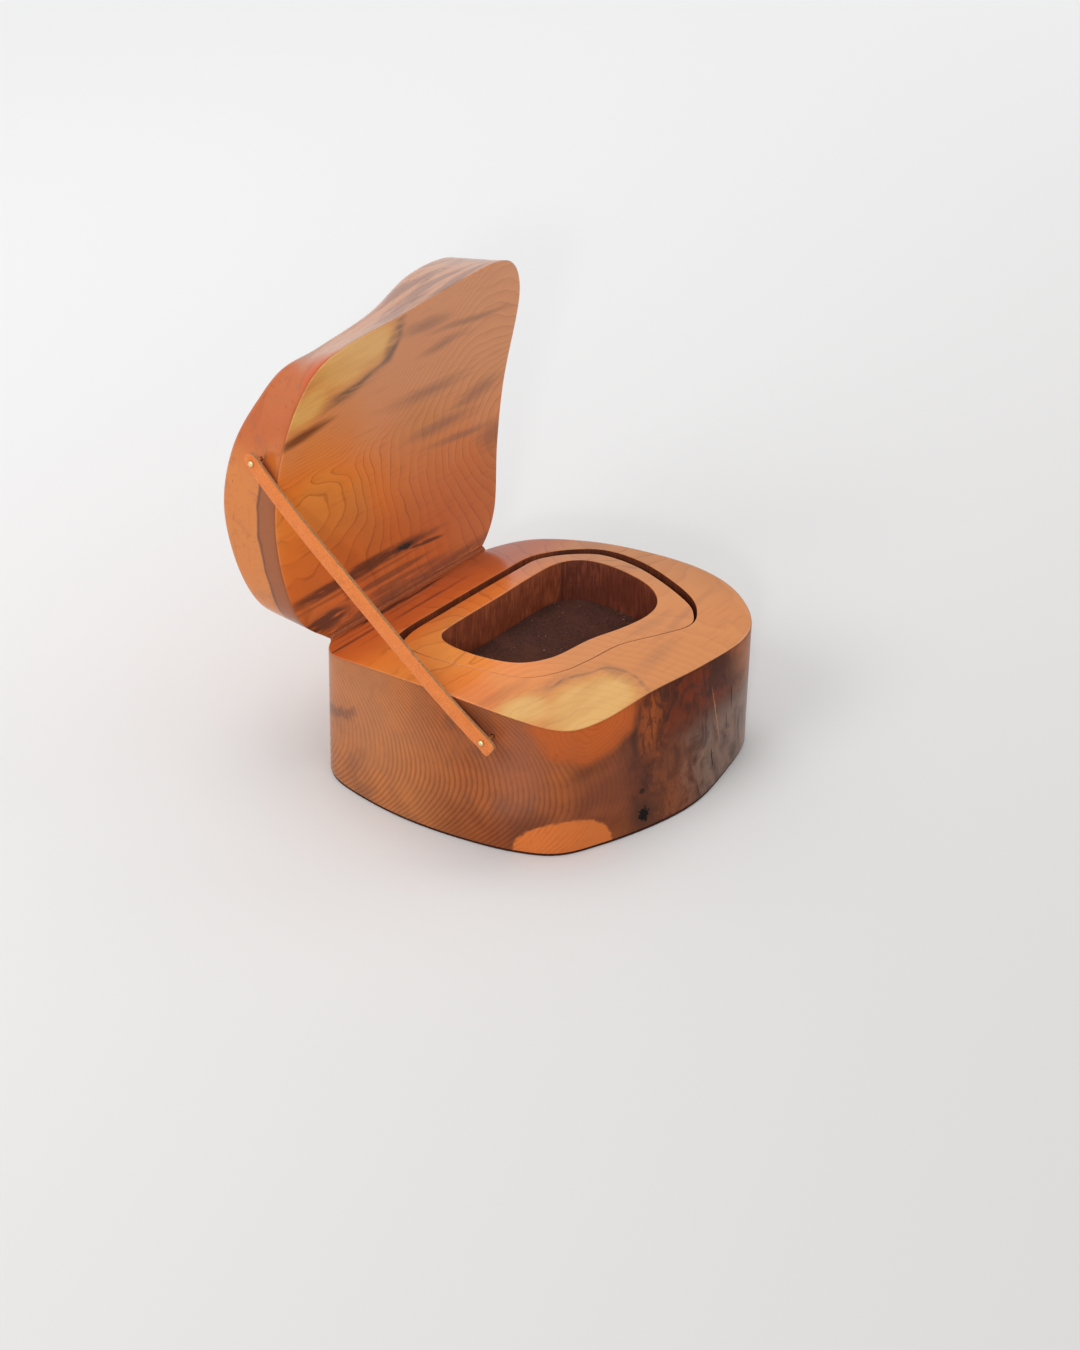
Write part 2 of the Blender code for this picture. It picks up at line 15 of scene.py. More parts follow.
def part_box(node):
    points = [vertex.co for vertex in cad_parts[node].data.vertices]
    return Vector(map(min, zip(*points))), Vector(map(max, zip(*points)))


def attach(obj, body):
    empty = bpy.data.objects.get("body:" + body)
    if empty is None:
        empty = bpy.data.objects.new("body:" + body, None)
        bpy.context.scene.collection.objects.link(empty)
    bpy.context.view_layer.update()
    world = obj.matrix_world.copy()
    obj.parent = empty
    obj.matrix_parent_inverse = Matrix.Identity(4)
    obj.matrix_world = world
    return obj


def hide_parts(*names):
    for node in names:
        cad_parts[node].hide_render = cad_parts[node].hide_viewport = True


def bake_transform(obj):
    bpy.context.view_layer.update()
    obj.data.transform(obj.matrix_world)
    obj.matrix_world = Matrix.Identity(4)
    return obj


bl_info = {
    "name": "Wooden Jewel Box",
    "version": (1, 0, 0),
    "blender": (4, 5, 0),
    "location": "3D View > Sidebar > Jewel Box",
    "description": "Dresses a sawn jewel box in figured wood, suede, leather and brass",
    "category": "Add Mesh",
}

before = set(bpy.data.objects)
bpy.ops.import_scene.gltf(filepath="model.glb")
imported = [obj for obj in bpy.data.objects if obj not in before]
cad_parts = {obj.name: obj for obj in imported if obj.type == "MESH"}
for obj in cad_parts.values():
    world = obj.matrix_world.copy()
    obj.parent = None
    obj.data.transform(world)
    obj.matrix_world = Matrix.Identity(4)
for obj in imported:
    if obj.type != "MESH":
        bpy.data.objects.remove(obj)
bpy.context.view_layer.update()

# The block, as it was sawn
BOX_LENGTH = 0.171
BOX_DEPTH = 0.1499
BASE_HEIGHT = 0.065
ARCH_RISE = 0.0128
FRONT_RAKE = 0.0125
LID_OPEN_ANGLE = math.radians(93.0)
CLEARANCE = 0.0003
OVERRUN = 0.012
SANDED = 0.00006
LID_RIM_HEIGHT = 0.050
LID_MIDDLE_HEIGHT = 0.047
LID_EASE = 0.0075
LID_ROUNDING = 0.0035
UNDERLAY_THICKNESS = 0.0010
UNDERLAY_INSET = 0.0005
FOOT_ROUNDING = 0.0008
GLUED_EDGE = 0.00002
POCKET_EDGE = 0.0003
CAVITY_EDGE = 0.0005
LEDGE_EDGES = (0.0003, 0.0004)
TRAY_EDGE_SHARE = 0.4
TRAY_GAP = 0.0048
TRAY_HAIRLINE = 0.0005
TRAY_DROP = 0.0003
TRAY_BELOW_HINGE = 0.0160
LINING_INSET = 0.0004
HINGE_INSET = 0.0045
HINGE_LEATHER_THICKNESS = 0.0022
HINGE_LEATHER_DEPTH = 0.0095
HINGE_BEND_RADIUS = 0.0015
HINGE_END_PROUD = 0.0008
STRAP_WIDTH = 0.0075
STRAP_THICKNESS = 0.0018
STRAP_NAP = 0.0006
STRAP_EDGE_ROUNDING = 0.0004
STRAP_WANDER = 0.00018
STRAP_EDGE_CLEARANCE = 0.0005
STRAP_BASE_STANDOFF = 0.0056
STRAP_LID_STANDOFF = 0.0021
STRAP_BASE_TAIL = 0.0060
STRAP_LID_TAIL = 0.0050
PIN_HEAD_RADIUS = 0.0015
PIN_HEAD_HEIGHT = 0.0010
PIN_SHANK_RADIUS = 0.00075
PIN_IN_WOOD = 0.0090
PIN_POINT = 0.0015
BASE_PIN_BELOW_JOINT = 0.0135
LID_PIN_ABOVE_JOINT = 0.0141
SUPPORT_OPENING_SHARE = 0.84
BASE_PIN_SHARE = 0.7265
LID_PIN_SHARE = 0.615
RAKE_START_SHARE = 0.55
RAKE_END_SHARE = 0.90
RAKE_CENTRE_SHARE = 0.065
RAKE_REACH_SHARE = 0.82
STRAP_EDGE_SHARE = 0.22
PIN_TILT_SHARE = 0.2
GAP_DIRECTION = Vector((0.6, 0.8))
GAP_START_SHARE = -0.8
GAP_FULL_SHARE = 0.6

# Outlines, as shares of half the length and half the depth, anticlockwise from the hinge's right end.
# The block's rows add the lid's rim height and the lean of its wall, as shares of the largest ones.
BLOCK_SHARES = (
    (0.263, 1.000, 0.54, 0.13), (-0.415, 1.000, 0.54, 0.13), (-0.637, 0.977, 0.56, 0.16),
    (-0.813, 0.907, 0.58, 0.16), (-0.942, 0.753, 0.71, 0.13), (-0.987, 0.473, 0.88, 0.13),
    (-0.985, 0.113, 1.00, 0.30), (-0.928, -0.261, 0.97, 0.67), (-0.832, -0.600, 0.76, 0.84),
    (-0.694, -0.834, 0.59, 0.96), (-0.462, -0.919, 0.46, 0.88), (-0.053, -0.941, 0.45, 0.44),
    (0.345, -0.979, 0.59, 0.20), (0.708, -0.984, 0.70, 0.73), (0.889, -0.888, 0.70, 0.80),
    (0.990, -0.674, 0.74, 0.67), (0.990, -0.408, 0.80, 0.53), (0.900, -0.015, 0.86, 0.40),
    (0.808, 0.356, 0.80, 0.33), (0.686, 0.745, 0.66, 0.27), (0.485, 0.948, 0.56, 0.20),
)
POCKET_SHARES = (
    (0.300, 0.553), (0.000, 0.560), (-0.300, 0.562), (-0.560, 0.556), (-0.680, 0.490), (-0.727, 0.330),
    (-0.722, 0.120), (-0.672, -0.087), (-0.544, -0.374), (-0.345, -0.494), (-0.146, -0.534),
    (0.088, -0.561), (0.333, -0.654), (0.520, -0.712), (0.640, -0.672), (0.730, -0.540), (0.778, -0.255),
    (0.789, -0.040), (0.763, 0.179), (0.684, 0.340), (0.580, 0.468), (0.470, 0.540),
)
CAVITY_SHARES = (
    (0.300, 0.342), (0.000, 0.337), (-0.400, 0.334), (-0.515, 0.290), (-0.561, 0.150), (-0.544, -0.061),
    (-0.454, -0.257), (-0.276, -0.364), (-0.006, -0.401), (0.216, -0.458), (0.400, -0.482),
    (0.530, -0.450), (0.612, -0.350), (0.645, -0.196), (0.641, 0.073), (0.590, 0.240), (0.480, 0.325),
)

HINGE_Y = BOX_DEPTH / 2 - HINGE_INSET
JOINT_REACH = BOX_DEPTH - HINGE_INSET
HINGE_AXIS = Vector((0, HINGE_Y, BASE_HEIGHT))
LID_TURN = Matrix.Rotation(-LID_OPEN_ANGLE, 4, "X")
OPENING = Matrix.Translation(HINGE_AXIS) @ LID_TURN @ Matrix.Translation(-HINGE_AXIS)

# Fineness of the visible meshes
SHARP_ANGLE = math.radians(38)
OUTLINE_STEPS = 18
WALL_STEPS = 6
TOP_STEPS = 12
FACE_STEPS = 26
EDGE_STEPS = 4
ROUNDING_STEPS = 6
STRAP_STEPS = 70
STRAP_END_STEPS = 10
HINGE_BEND_STEPS = 12
HINGE_LENGTH_STEPS = 90
PIN_SIDES = 40
PIN_DOME_STEPS = 8
SLAB_SHARES = (0.3, 0.6, 0.85)
SHEET_SHARES = (0.12, 0.3, 0.5, 0.7, 0.86, 0.95)

# The strap's cut lower end, as shares of its tail and of its half width, and which faces are its cut edge
STRAP_END_SHARES = ((1.0, 0.66), (0.97, 0.80), (0.91, 0.92), (0.84, 0.98), (0.78, 1.0), (0.4, 1.0))
CUT_EDGE_FACES = (14, 15, 0, 6, 7, 8)

# The stage: the camera's place is in metres and its angles in radians. The room behind shows at
# BACKDROP_LEVEL, where 1 is white, and the floor fades into it over FLOOR_FADE, in millimetres.
# A lamp is its name, place, height of its aim, share of the key lamp's power, and size.
BACKDROP_LEVEL = 0.88
FLOOR_HALF = 4.0
FLOOR_FADE = (700.0, 1500.0)
CAMERA_PLACE = (-0.983368, -0.792962, 0.854268)
CAMERA_AZIMUTH = -0.8928882335
CAMERA_ELEVATION = 0.5710060851
CAMERA_ROLL = 0.0242328228
CAMERA_LENS = 85.3333
CAMERA_SENSOR = 36.0
LAMPS = (
    ("key_lamp", (-2.0, -1.37, 1.25), 0.06, 1.0, 0.16),
    ("left_softbox", (-1.7, 0.3, 1.5), 0.05, 1.35, 1.1),
    ("right_fill", (1.7, -0.9, 0.9), 0.05, 0.50, 1.2),
    ("top_softbox", (0.2, 0.5, 2.2), 0.05, 0.9, 1.2),
)


# Sizes and colours that a user would change

def colour_setting(name, description, default):
    return FloatVectorProperty(name=name, description=description, default=default, subtype="COLOR",
                               min=0, max=1)


class JewelBoxWood(bpy.types.PropertyGroup):
    heartwood: colour_setting("Heartwood", "Polished heartwood on the sawn faces", (0.74, 0.200, 0.030))
    sapwood: colour_setting("Sapwood", "Pale outer wood at the front left corner", (0.76, 0.430, 0.130))
    weathered: colour_setting("Side wood", "Brown wood on the left side of the base", (0.45, 0.157, 0.052))
    burr: colour_setting("Front wood", "Dark mottled wood on the front of the base", (0.125, 0.040, 0.020))
    streak: colour_setting("Streaks", "Darkest streaks near the hinge and under the rim",
                           (0.060, 0.014, 0.006))
    ring_pitch: FloatProperty(name="Ring pitch", description="Distance between growth rings on the sides",
                              default=0.0027, min=0.001, max=0.01, subtype="DISTANCE", unit="LENGTH")
    edge_radius: FloatProperty(name="Edge radius", description="Rounding along the sawn edges",
                               default=0.0006, min=0.0002, max=0.0015, subtype="DISTANCE", unit="LENGTH")


class JewelBoxSoft(bpy.types.PropertyGroup):
    hide: colour_setting("Strap leather", "Suede side of the stay strap", (0.84, 0.255, 0.060))
    hide_edge: colour_setting("Cut edge", "Raw cut edge of the leather", (0.50, 0.24, 0.095))
    hinge_hide: colour_setting("Hinge leather", "Leather strip along the hinge", (0.46, 0.115, 0.035))
    suede: colour_setting("Lining", "Dark suede in the tray and the pocket", (0.042, 0.014, 0.009))
    nap_depth: FloatProperty(name="Nap", description="Unevenness of the suede linings",
                             default=0.00012, min=0.0, max=0.0003, subtype="DISTANCE", unit="LENGTH")


class JewelBoxStage(bpy.types.PropertyGroup):
    floor: colour_setting("Floor", "Plain pale floor", (0.79, 0.79, 0.795))
    sky_level: FloatProperty(name="Room light", description="Strength of the light from all round",
                             default=0.58, min=0.0, max=2.0, subtype="FACTOR")
    key_power: FloatProperty(name="Key lamp", description="Power of the soft lamp at the front left",
                             default=9.0, min=0.0, max=200.0, unit="POWER")


# Curves and heights

def smoothstep(value):
    value = min(max(value, 0), 1)
    return value * value * (3 - 2 * value)


def between(low, high, step, steps):
    return low + (high - low) * step / steps


def smooth_rows(table):
    """Rows of a closed table with smooth steps between them."""
    rows = [Vector(row) for row in table]
    smooth = []
    for index in range(len(rows)):
        before, start, end, after = (rows[(index + k) % len(rows)] for k in (-1, 0, 1, 2))
        for step in range(OUTLINE_STEPS):
            t = step / OUTLINE_STEPS
            row = start * 2 + (end - before) * t
            row += (before * 2 - start * 5 + end * 4 - after) * t ** 2
            row += (start * 3 - before - end * 3 + after) * t ** 3
            smooth.append(row / 2)
    return smooth


def outline(rows):
    return [Vector((row[0] * BOX_LENGTH / 2, row[1] * BOX_DEPTH / 2)) for row in rows]


def sides_of(loop):
    return zip(loop, loop[1:] + loop[:1])


def outward(loop):
    """Outward normal at each point of an anticlockwise outline."""
    normals = []
    for index, _ in enumerate(loop):
        along = loop[(index + 1) % len(loop)] - loop[index - 1]
        normals.append(Vector((along.y, -along.x)).normalized())
    return normals


def inset(loop, distance):
    """Outline moved inwards by a distance, or by one distance for each point."""
    distances = distance if isinstance(distance, list) else [distance] * len(loop)
    return [p - n * d for p, n, d in zip(loop, outward(loop), distances)]


def middle_of(loop):
    return sum(loop, Vector((0, 0))) / len(loop)


def shrunk(loop, share):
    middle = middle_of(loop)
    return [middle + (p - middle) * share for p in loop]


def joint_reach(y):
    return (HINGE_Y - y) / JOINT_REACH


def joint_height(y):
    """Height of the arched saw cut, which runs straight along X."""
    reach = joint_reach(y)
    return BASE_HEIGHT + ARCH_RISE * 4 * reach * (1 - reach)


def straight(point, height):
    return Vector((point.x, point.y, height))


def raked(point, height):
    """Wall point at a height: the front wall leans back from its foot to the joint."""
    across = (point.x / (BOX_LENGTH / 2) - RAKE_CENTRE_SHARE) / RAKE_REACH_SHARE
    if abs(across) >= 1:
        return straight(point, height)
    front = smoothstep((joint_reach(point.y) - RAKE_START_SHARE) / (RAKE_END_SHARE - RAKE_START_SHARE))
    lean = FRONT_RAKE * front * math.cos(math.pi / 2 * across) ** 2
    return Vector((point.x, point.y - lean * (1 - height / BASE_HEIGHT), height))


BLOCK_ROWS = smooth_rows(BLOCK_SHARES)
BLOCK_LOOP = inset([Vector((p.x, min(p.y, BOX_DEPTH / 2))) for p in outline(BLOCK_ROWS)], SANDED)
POCKET_LOOP = outline(smooth_rows(POCKET_SHARES))
CAVITY_LOOP = outline(smooth_rows(CAVITY_SHARES))


def tray_loop():
    """Tray outline: close to the pocket at the front and left, with the saw gap at the back and right."""
    gaps = []
    for normal in outward(POCKET_LOOP):
        faced = normal.dot(GAP_DIRECTION)
        share = smoothstep((faced - GAP_START_SHARE) / (GAP_FULL_SHARE - GAP_START_SHARE))
        gaps.append(TRAY_HAIRLINE + (TRAY_GAP - TRAY_HAIRLINE) * share)
    return inset(POCKET_LOOP, gaps)


TRAY_LOOP = tray_loop()


def wall_crossings(y):
    """X of the block's left and right walls at a depth, at the height of the joint."""
    crossings = []
    for start, end in sides_of(BLOCK_LOOP):
        if (start.y - y) * (end.y - y) <= 0 and start.y != end.y:
            crossings.append(start.x + (end.x - start.x) * (y - start.y) / (end.y - start.y))
    return min(crossings), max(crossings)


def pin_place(share, from_joint, standoff):
    y = HINGE_Y - share * JOINT_REACH
    x = wall_crossings(y)[0] - standoff - STRAP_THICKNESS / 2
    return Vector((x, y, joint_height(y) + from_joint))


BASE_PIN = pin_place(BASE_PIN_SHARE, -BASE_PIN_BELOW_JOINT, STRAP_BASE_STANDOFF)
LID_PIN = pin_place(LID_PIN_SHARE, LID_PIN_ABOVE_JOINT, STRAP_LID_STANDOFF)


def facing(loop, guide, middle):
    """Points of a loop that lie in the directions of a guide's points, seen from a middle inside both."""
    found = []
    arms = [p - middle for p in loop]
    for point in guide:
        ray = (point - middle).normalized()
        for start, end in sides_of(arms):
            side_start = ray.x * start.y - ray.y * start.x
            side_end = ray.x * end.y - ray.y * end.x
            if side_start <= 0 < side_end and start.dot(ray) > 0:
                found.append(middle + start.lerp(end, side_start / (side_start - side_end)))
                break
        else:
            raise RuntimeError("an outline isn't seen all round from its middle")
    return found


# Meshes

def smooth_faces(mesh):
    mesh.shade_smooth()
    mesh.set_sharp_from_angle(angle=SHARP_ANGLE)


def mesh_piece(name, verts, faces, finish_numbers=None):
    """Object with its faces turned out and smooth, sharp only at real corners."""
    mesh = bpy.data.meshes.new(name)
    mesh.from_pydata(verts, [], faces)
    if finish_numbers:
        mesh.polygons.foreach_set("material_index", finish_numbers)
    mesh.validate()
    made = bpy.data.objects.new(name, mesh)
    bpy.context.scene.collection.objects.link(made)
    bm = bmesh.new()
    bm.from_mesh(mesh)
    bmesh.ops.recalc_face_normals(bm, faces=bm.faces)
    bm.to_mesh(mesh)
    bm.free()
    smooth_faces(mesh)
    return made


def ring_skin(rings, numbers=None, tips=None, around=False):
    """Vertices and faces over rings of equal length, closed by two tips or joined end to start."""
    count = len(rings[0])
    verts = [point for ring in rings for point in ring]
    faces = []
    finish_numbers = []
    for row in range(len(rings) if around else len(rings) - 1):
        low = row * count
        high = (row + 1) % len(rings) * count
        for index in range(count):
            following = (index + 1) % count
            faces.append((low + index, low + following, high + following, high + index))
            finish_numbers.append(numbers[row] if numbers else 0)
    for tip, low in zip(tips or (), (0, (len(rings) - 1) * count)):
        verts.append(tip)
        for index in range(count):
            faces.append((low + (index + 1) % count, low + index, len(verts) - 1))
            finish_numbers.append(0)
    return verts, faces, finish_numbers


def corner(step):
    """Shares of an edge radius, inwards and downwards, on the way over a rounded edge."""
    angle = math.pi / 2 * step / EDGE_STEPS
    return 1 - math.cos(angle), 1 - math.sin(angle)


def circle(radius):
    angles = [math.tau * side / PIN_SIDES for side in range(PIN_SIDES)]
    return [(radius * math.cos(angle), radius * math.sin(angle)) for angle in angles]


def hollow_block(name, outer, inner, foot, head, wall, outer_radii, inner_radius):
    """Block with a hollow sawn through it and rounded edges: finish 0 outside, 1 in the hollow, 2 on top."""
    rings = []
    numbers = []
    edge = list(zip(outer, outward(outer), outer_radii))
    rim = list(zip(inner, outward(inner)))

    def add(number, ring):
        rings.append(ring)
        numbers.append(number)

    def under_head(place, down):
        return straight(place, head(place.y) - down)

    tops = [head(wall(p, BASE_HEIGHT).y) - r for p, _, r in edge]
    for step in range(WALL_STEPS + 1):
        add(0, [wall(p, between(foot, top, step, WALL_STEPS)) for p, top in zip(outer, tops)])
    for step in range(1, EDGE_STEPS + 1):
        across, down = corner(step)
        add(2, [under_head(wall(p, head(p.y)).xy - n * r * across, r * down) for p, n, r in edge])
    start = rings[-1]
    end = [p + n * inner_radius for p, n in rim]
    for step in range(1, TOP_STEPS + 1):
        add(2, [under_head(a.xy.lerp(b, step / TOP_STEPS), 0) for a, b in zip(start, end)])
    for step in range(EDGE_STEPS - 1, -1, -1):
        across, down = corner(step)
        add(2 if step else 1,
            [under_head(p + n * inner_radius * across, inner_radius * down) for p, n in rim])
    for step in range(1, WALL_STEPS + 1):
        add(1, [straight(p, between(head(p.y) - inner_radius, foot, step, WALL_STEPS)) for p in inner])
    return mesh_piece(name, *ring_skin(rings, numbers, around=True))


def solid_slab(name, loop, foot, head, wall):
    """Slab of an outline, eased at its foot and crisp where it is glued, closed to its middle."""
    out = outward(loop)

    def edge_ring(step, radius, height, side):
        across, down = corner(step)
        return [wall(p - n * radius * across, height + side * radius * down) for p, n in zip(loop, out)]

    rings = [[wall(p - n * FOOT_ROUNDING, foot) for p, n in zip(shrunk(loop, share), out)]
             for share in SLAB_SHARES]
    rings += [edge_ring(step, FOOT_ROUNDING, foot, 1) for step in range(EDGE_STEPS, -1, -1)]
    rings += [edge_ring(step, GLUED_EDGE, head, -1) for step in range(EDGE_STEPS + 1)]
    rings += [[wall(p, head) for p in shrunk(loop, share)] for share in reversed(SLAB_SHARES)]
    middle = middle_of(loop)
    return mesh_piece(name, *ring_skin(rings, tips=(straight(middle, foot), straight(middle, head))))


def cutter(name, profile, left=-BOX_LENGTH / 2 - OVERRUN, right=BOX_LENGTH / 2 + OVERRUN):
    """Piece that only cuts: a (y, z) profile run along X."""
    count = len(profile)
    verts = [Vector((x, y, z)) for x in (left, right) for y, z in profile]
    faces = [tuple(range(count)), tuple(range(2 * count - 1, count - 1, -1))]
    for index in range(count):
        following = (index + 1) % count
        faces.append((index, index + count, following + count, following))
    return mesh_piece(name, verts, faces, [1] * len(faces))


def saw_joint(piece, name, side, pin):
    """Cuts the kerf for the hinge leather, the bevel behind the hinge and the blind hole for a pin.

    The side is -1 for the base, below the joint, and 1 for the lid. The bevel is half the opening angle, so
    that the halves meet when open.
    """
    half = HINGE_LEATHER_THICKNESS / 2 + CLEARANCE
    deep = BASE_HEIGHT + side * (HINGE_LEATHER_DEPTH + CLEARANCE)
    open_end = BASE_HEIGHT - side * OVERRUN / 2
    kerf = [(HINGE_Y - half, deep), (HINGE_Y + half, deep), (HINGE_Y + half, open_end),
            (HINGE_Y - half, open_end)]
    depth = HINGE_INSET + OVERRUN
    start = BASE_HEIGHT + side * CLEARANCE
    end = BASE_HEIGHT - side * OVERRUN
    rise = side * depth * math.tan(LID_OPEN_ANGLE / 2)
    bevel = [(HINGE_Y, start), (HINGE_Y + depth, start + rise), (HINGE_Y + depth, end), (HINGE_Y, end)]
    hole = [(pin.y + y, pin.z + z) for y, z in circle(PIN_SHANK_RADIUS + CLEARANCE)]
    hole_end = wall_crossings(pin.y)[0] + PIN_IN_WOOD + CLEARANCE
    cut_away(piece, [cutter(name + "_kerf", kerf), cutter(name + "_bevel", bevel),
                     cutter(name + "_hole", hole, pin.x - OVERRUN, hole_end)])


def cut_away(piece, cutters):
    """Takes the cutters out of a piece for good and removes them."""
    for tool in cutters:
        for slot in piece.material_slots:
            tool.data.materials.append(slot.material)
        modifier = piece.modifiers.new(tool.name, "BOOLEAN")
        modifier.operation = "DIFFERENCE"
        modifier.solver = "EXACT"
        modifier.object = tool
    bpy.context.view_layer.update()
    shaped = piece.evaluated_get(bpy.context.evaluated_depsgraph_get())
    mesh = bpy.data.meshes.new_from_object(shaped)
    mesh.name = piece.name
    piece.modifiers.clear()
    piece.data = mesh
    for tool in cutters:
        bpy.data.objects.remove(tool)
    smooth_faces(mesh)
    if len(mesh.polygons) == 0:
        raise RuntimeError(f"cutting emptied {piece.name}")


# Finishes: fields and coats stand for the nodes that make them

def tinted(colour, factors):
    """Colour times one factor, or one for each channel, no brighter than white."""
    factors = factors if isinstance(factors, tuple) else (factors,) * 3
    return [min(c * f, 1.0) for c, f in zip(colour, factors)]


class Output:
    """Output of a node, with the nodes that it belongs to."""

    def __init__(self, nodes, socket):
        self.nodes = nodes
        self.socket = socket


class Field(Output):
    """Number that varies over a piece, with the usual arithmetic."""

    def __add__(self, other):
        return self.nodes.calc("ADD", self, other)

    def __sub__(self, other):
        return self.nodes.calc("SUBTRACT", self, other)

    def __rsub__(self, other):
        return self.nodes.calc("SUBTRACT", other, self)

    def __mul__(self, other):
        return self.nodes.calc("MULTIPLY", self, other)

    __radd__ = __add__
    __rmul__ = __mul__

    def sway(self, by):
        """Noise moved to lie around zero, and stretched."""
        return (self - 0.5) * by

    def rise(self, start, end):
        """0 before start, 1 after end and smooth between them. It falls where end lies before start."""
        made = self.nodes.node("ShaderNodeMapRange", interpolation_type="SMOOTHSTEP")
        self.nodes.feed(made.inputs["Value"], self)
        made.inputs["From Min"].default_value = start
        made.inputs["From Max"].default_value = end
        return Field(self.nodes, made.outputs[0])


class Coat(Output):
    """Colour that is built up in coats, each where a field says."""

    def lay(self, where, tint, mode="MIX"):
        self.socket = self.nodes.colour(where, self, tint, mode).socket

    def shade(self, where, tint):
        """Multiplies what is there by a tint."""
        self.lay(where, tint, "MULTIPLY")


class Nodes:
    """Nodes of a tree, put together with short words for what each does."""

    def __init__(self, tree):
        self.tree = tree

    def node(self, kind, **settings):
        made = self.tree.nodes.new(kind)
        for key, value in settings.items():
            setattr(made, key, value)
        return made

    def feed(self, socket, value):
        if isinstance(value, Output):
            value = value.socket
        if isinstance(value, bpy.types.NodeSocket):
            self.tree.links.new(value, socket)
        elif socket.type == "RGBA":
            socket.default_value = (*value[:3], 1.0)
        else:
            socket.default_value = value

    def calc(self, operation, *values):
        made = self.node("ShaderNodeMath", operation=operation)
        for socket, value in zip(made.inputs, values):
            self.feed(socket, value)
        return Field(self, made.outputs[0])

    def most(self, first, *others):
        for other in others:
            first = self.calc("MAXIMUM", first, other)
        return first

    def vector(self, x, y, z):
        made = self.node("ShaderNodeCombineXYZ")
        for socket, value in zip(made.inputs, (x, y, z)):
            self.feed(socket, value)
        return made.outputs[0]

    def vector_math(self, operation, vector, other=None):
        made = self.node("ShaderNodeVectorMath", operation=operation)
        self.feed(made.inputs[0], vector)
        if other is not None:
            made.inputs[1].default_value = other
        return made.outputs["Value" if operation in ("LENGTH", "DOT_PRODUCT") else "Vector"]

    def colour(self, mask, below, above, mode="MIX"):
        made = self.node("ShaderNodeMix", data_type="RGBA", blend_type=mode)
        for number, value in ((0, mask), (6, below), (7, above)):
            self.feed(made.inputs[number], value)
        return Coat(self, made.outputs[2])


class Finish(Nodes):
    """Material under construction, whose place is in the closed block, in millimetres."""

    def __init__(self, name, roughness, lid=False):
        self.material = bpy.data.materials.new(name)
        self.material.use_nodes = True
        super().__init__(self.material.node_tree)
        self.shader = self.tree.nodes["Principled BSDF"]
        self.shader.inputs["Roughness"].default_value = roughness
        place = self.node("ShaderNodeTexCoord").outputs["Object"]
        if lid:
            turn = self.node("ShaderNodeVectorRotate", rotation_type="X_AXIS")
            self.feed(turn.inputs["Vector"], place)
            turn.inputs["Center"].default_value = HINGE_AXIS
            turn.inputs["Angle"].default_value = LID_OPEN_ANGLE
            place = turn.outputs[0]
        self.place = self.vector_math("MULTIPLY", place, (1000, 1000, 1000))
        split = self.node("ShaderNodeSeparateXYZ")
        self.feed(split.inputs[0], self.place)
        self.x, self.y, self.z = (Field(self, output) for output in split.outputs)

    def cloud(self, size, detail, stretch=None, rough=0.5, shift=0.0, swirl=0.0):
        """Noise around 0.5 with lumps of about this size in millimetres."""
        made = self.node("ShaderNodeTexNoise", noise_dimensions="4D")
        place = self.vector_math("MULTIPLY", self.place, stretch) if stretch else self.place
        self.feed(made.inputs["Vector"], place)
        made.inputs["W"].default_value = shift
        made.inputs["Scale"].default_value = 1 / size
        made.inputs["Detail"].default_value = detail
        made.inputs["Roughness"].default_value = rough
        made.inputs["Distortion"].default_value = swirl
        return Field(self, made.outputs[0])

    def reach(self, place, centre, size, turn=0.0, ragged=None, rag=0.6):
        """Distance from a centre, as a share of an ellipsoid's reach that way, made ragged by a noise."""
        made = self.node("ShaderNodeMapping", vector_type="TEXTURE")
        self.feed(made.inputs["Vector"], place)
        made.inputs["Location"].default_value = centre
        made.inputs["Rotation"].default_value = (0, 0, math.radians(turn))
        made.inputs["Scale"].default_value = size
        distance = Field(self, self.vector_math("LENGTH", made.outputs[0]))
        return distance if ragged is None else distance + ragged.sway(rag)

    def patch(self, place, centre, size, turn=0.0, edge=0.25, ragged=None, rag=0.6):
        """Mask of an ellipsoid: 1 inside, 0 outside, with a soft edge."""
        return self.reach(place, centre, size, turn, ragged, rag).rise(1 + edge, 1 - edge)

    def bump(self, height, strength, distance, under=None):
        made = self.node("ShaderNodeBump")
        made.inputs["Strength"].default_value = strength
        made.inputs["Distance"].default_value = distance
        self.feed(made.inputs["Height"], height)
        if under is not None:
            self.feed(made.inputs["Normal"], under)
        return made.outputs[0]

    def done(self, **sockets):
        """Feeds the shader's sockets, named in small letters, and returns the material."""
        for socket in self.shader.inputs:
            name = socket.name.lower().replace(" ", "_")
            if name in sockets:
                self.feed(socket, sockets.pop(name))
        if sockets:
            raise KeyError(f"no socket for {sorted(sockets)}")
        return self.material


def ring_lines(rings, width):
    """Growth rings of a field that counts them: a slow darkening and a late line of this share's width."""
    part = rings.nodes.calc("FRACT", rings)
    slow = part.rise(0.0, 0.85) * part.rise(1.0, 0.93)
    return slow, part.rise(1 - width, 1 - width * 0.45) * part.rise(1.0, 1 - width * 0.4)


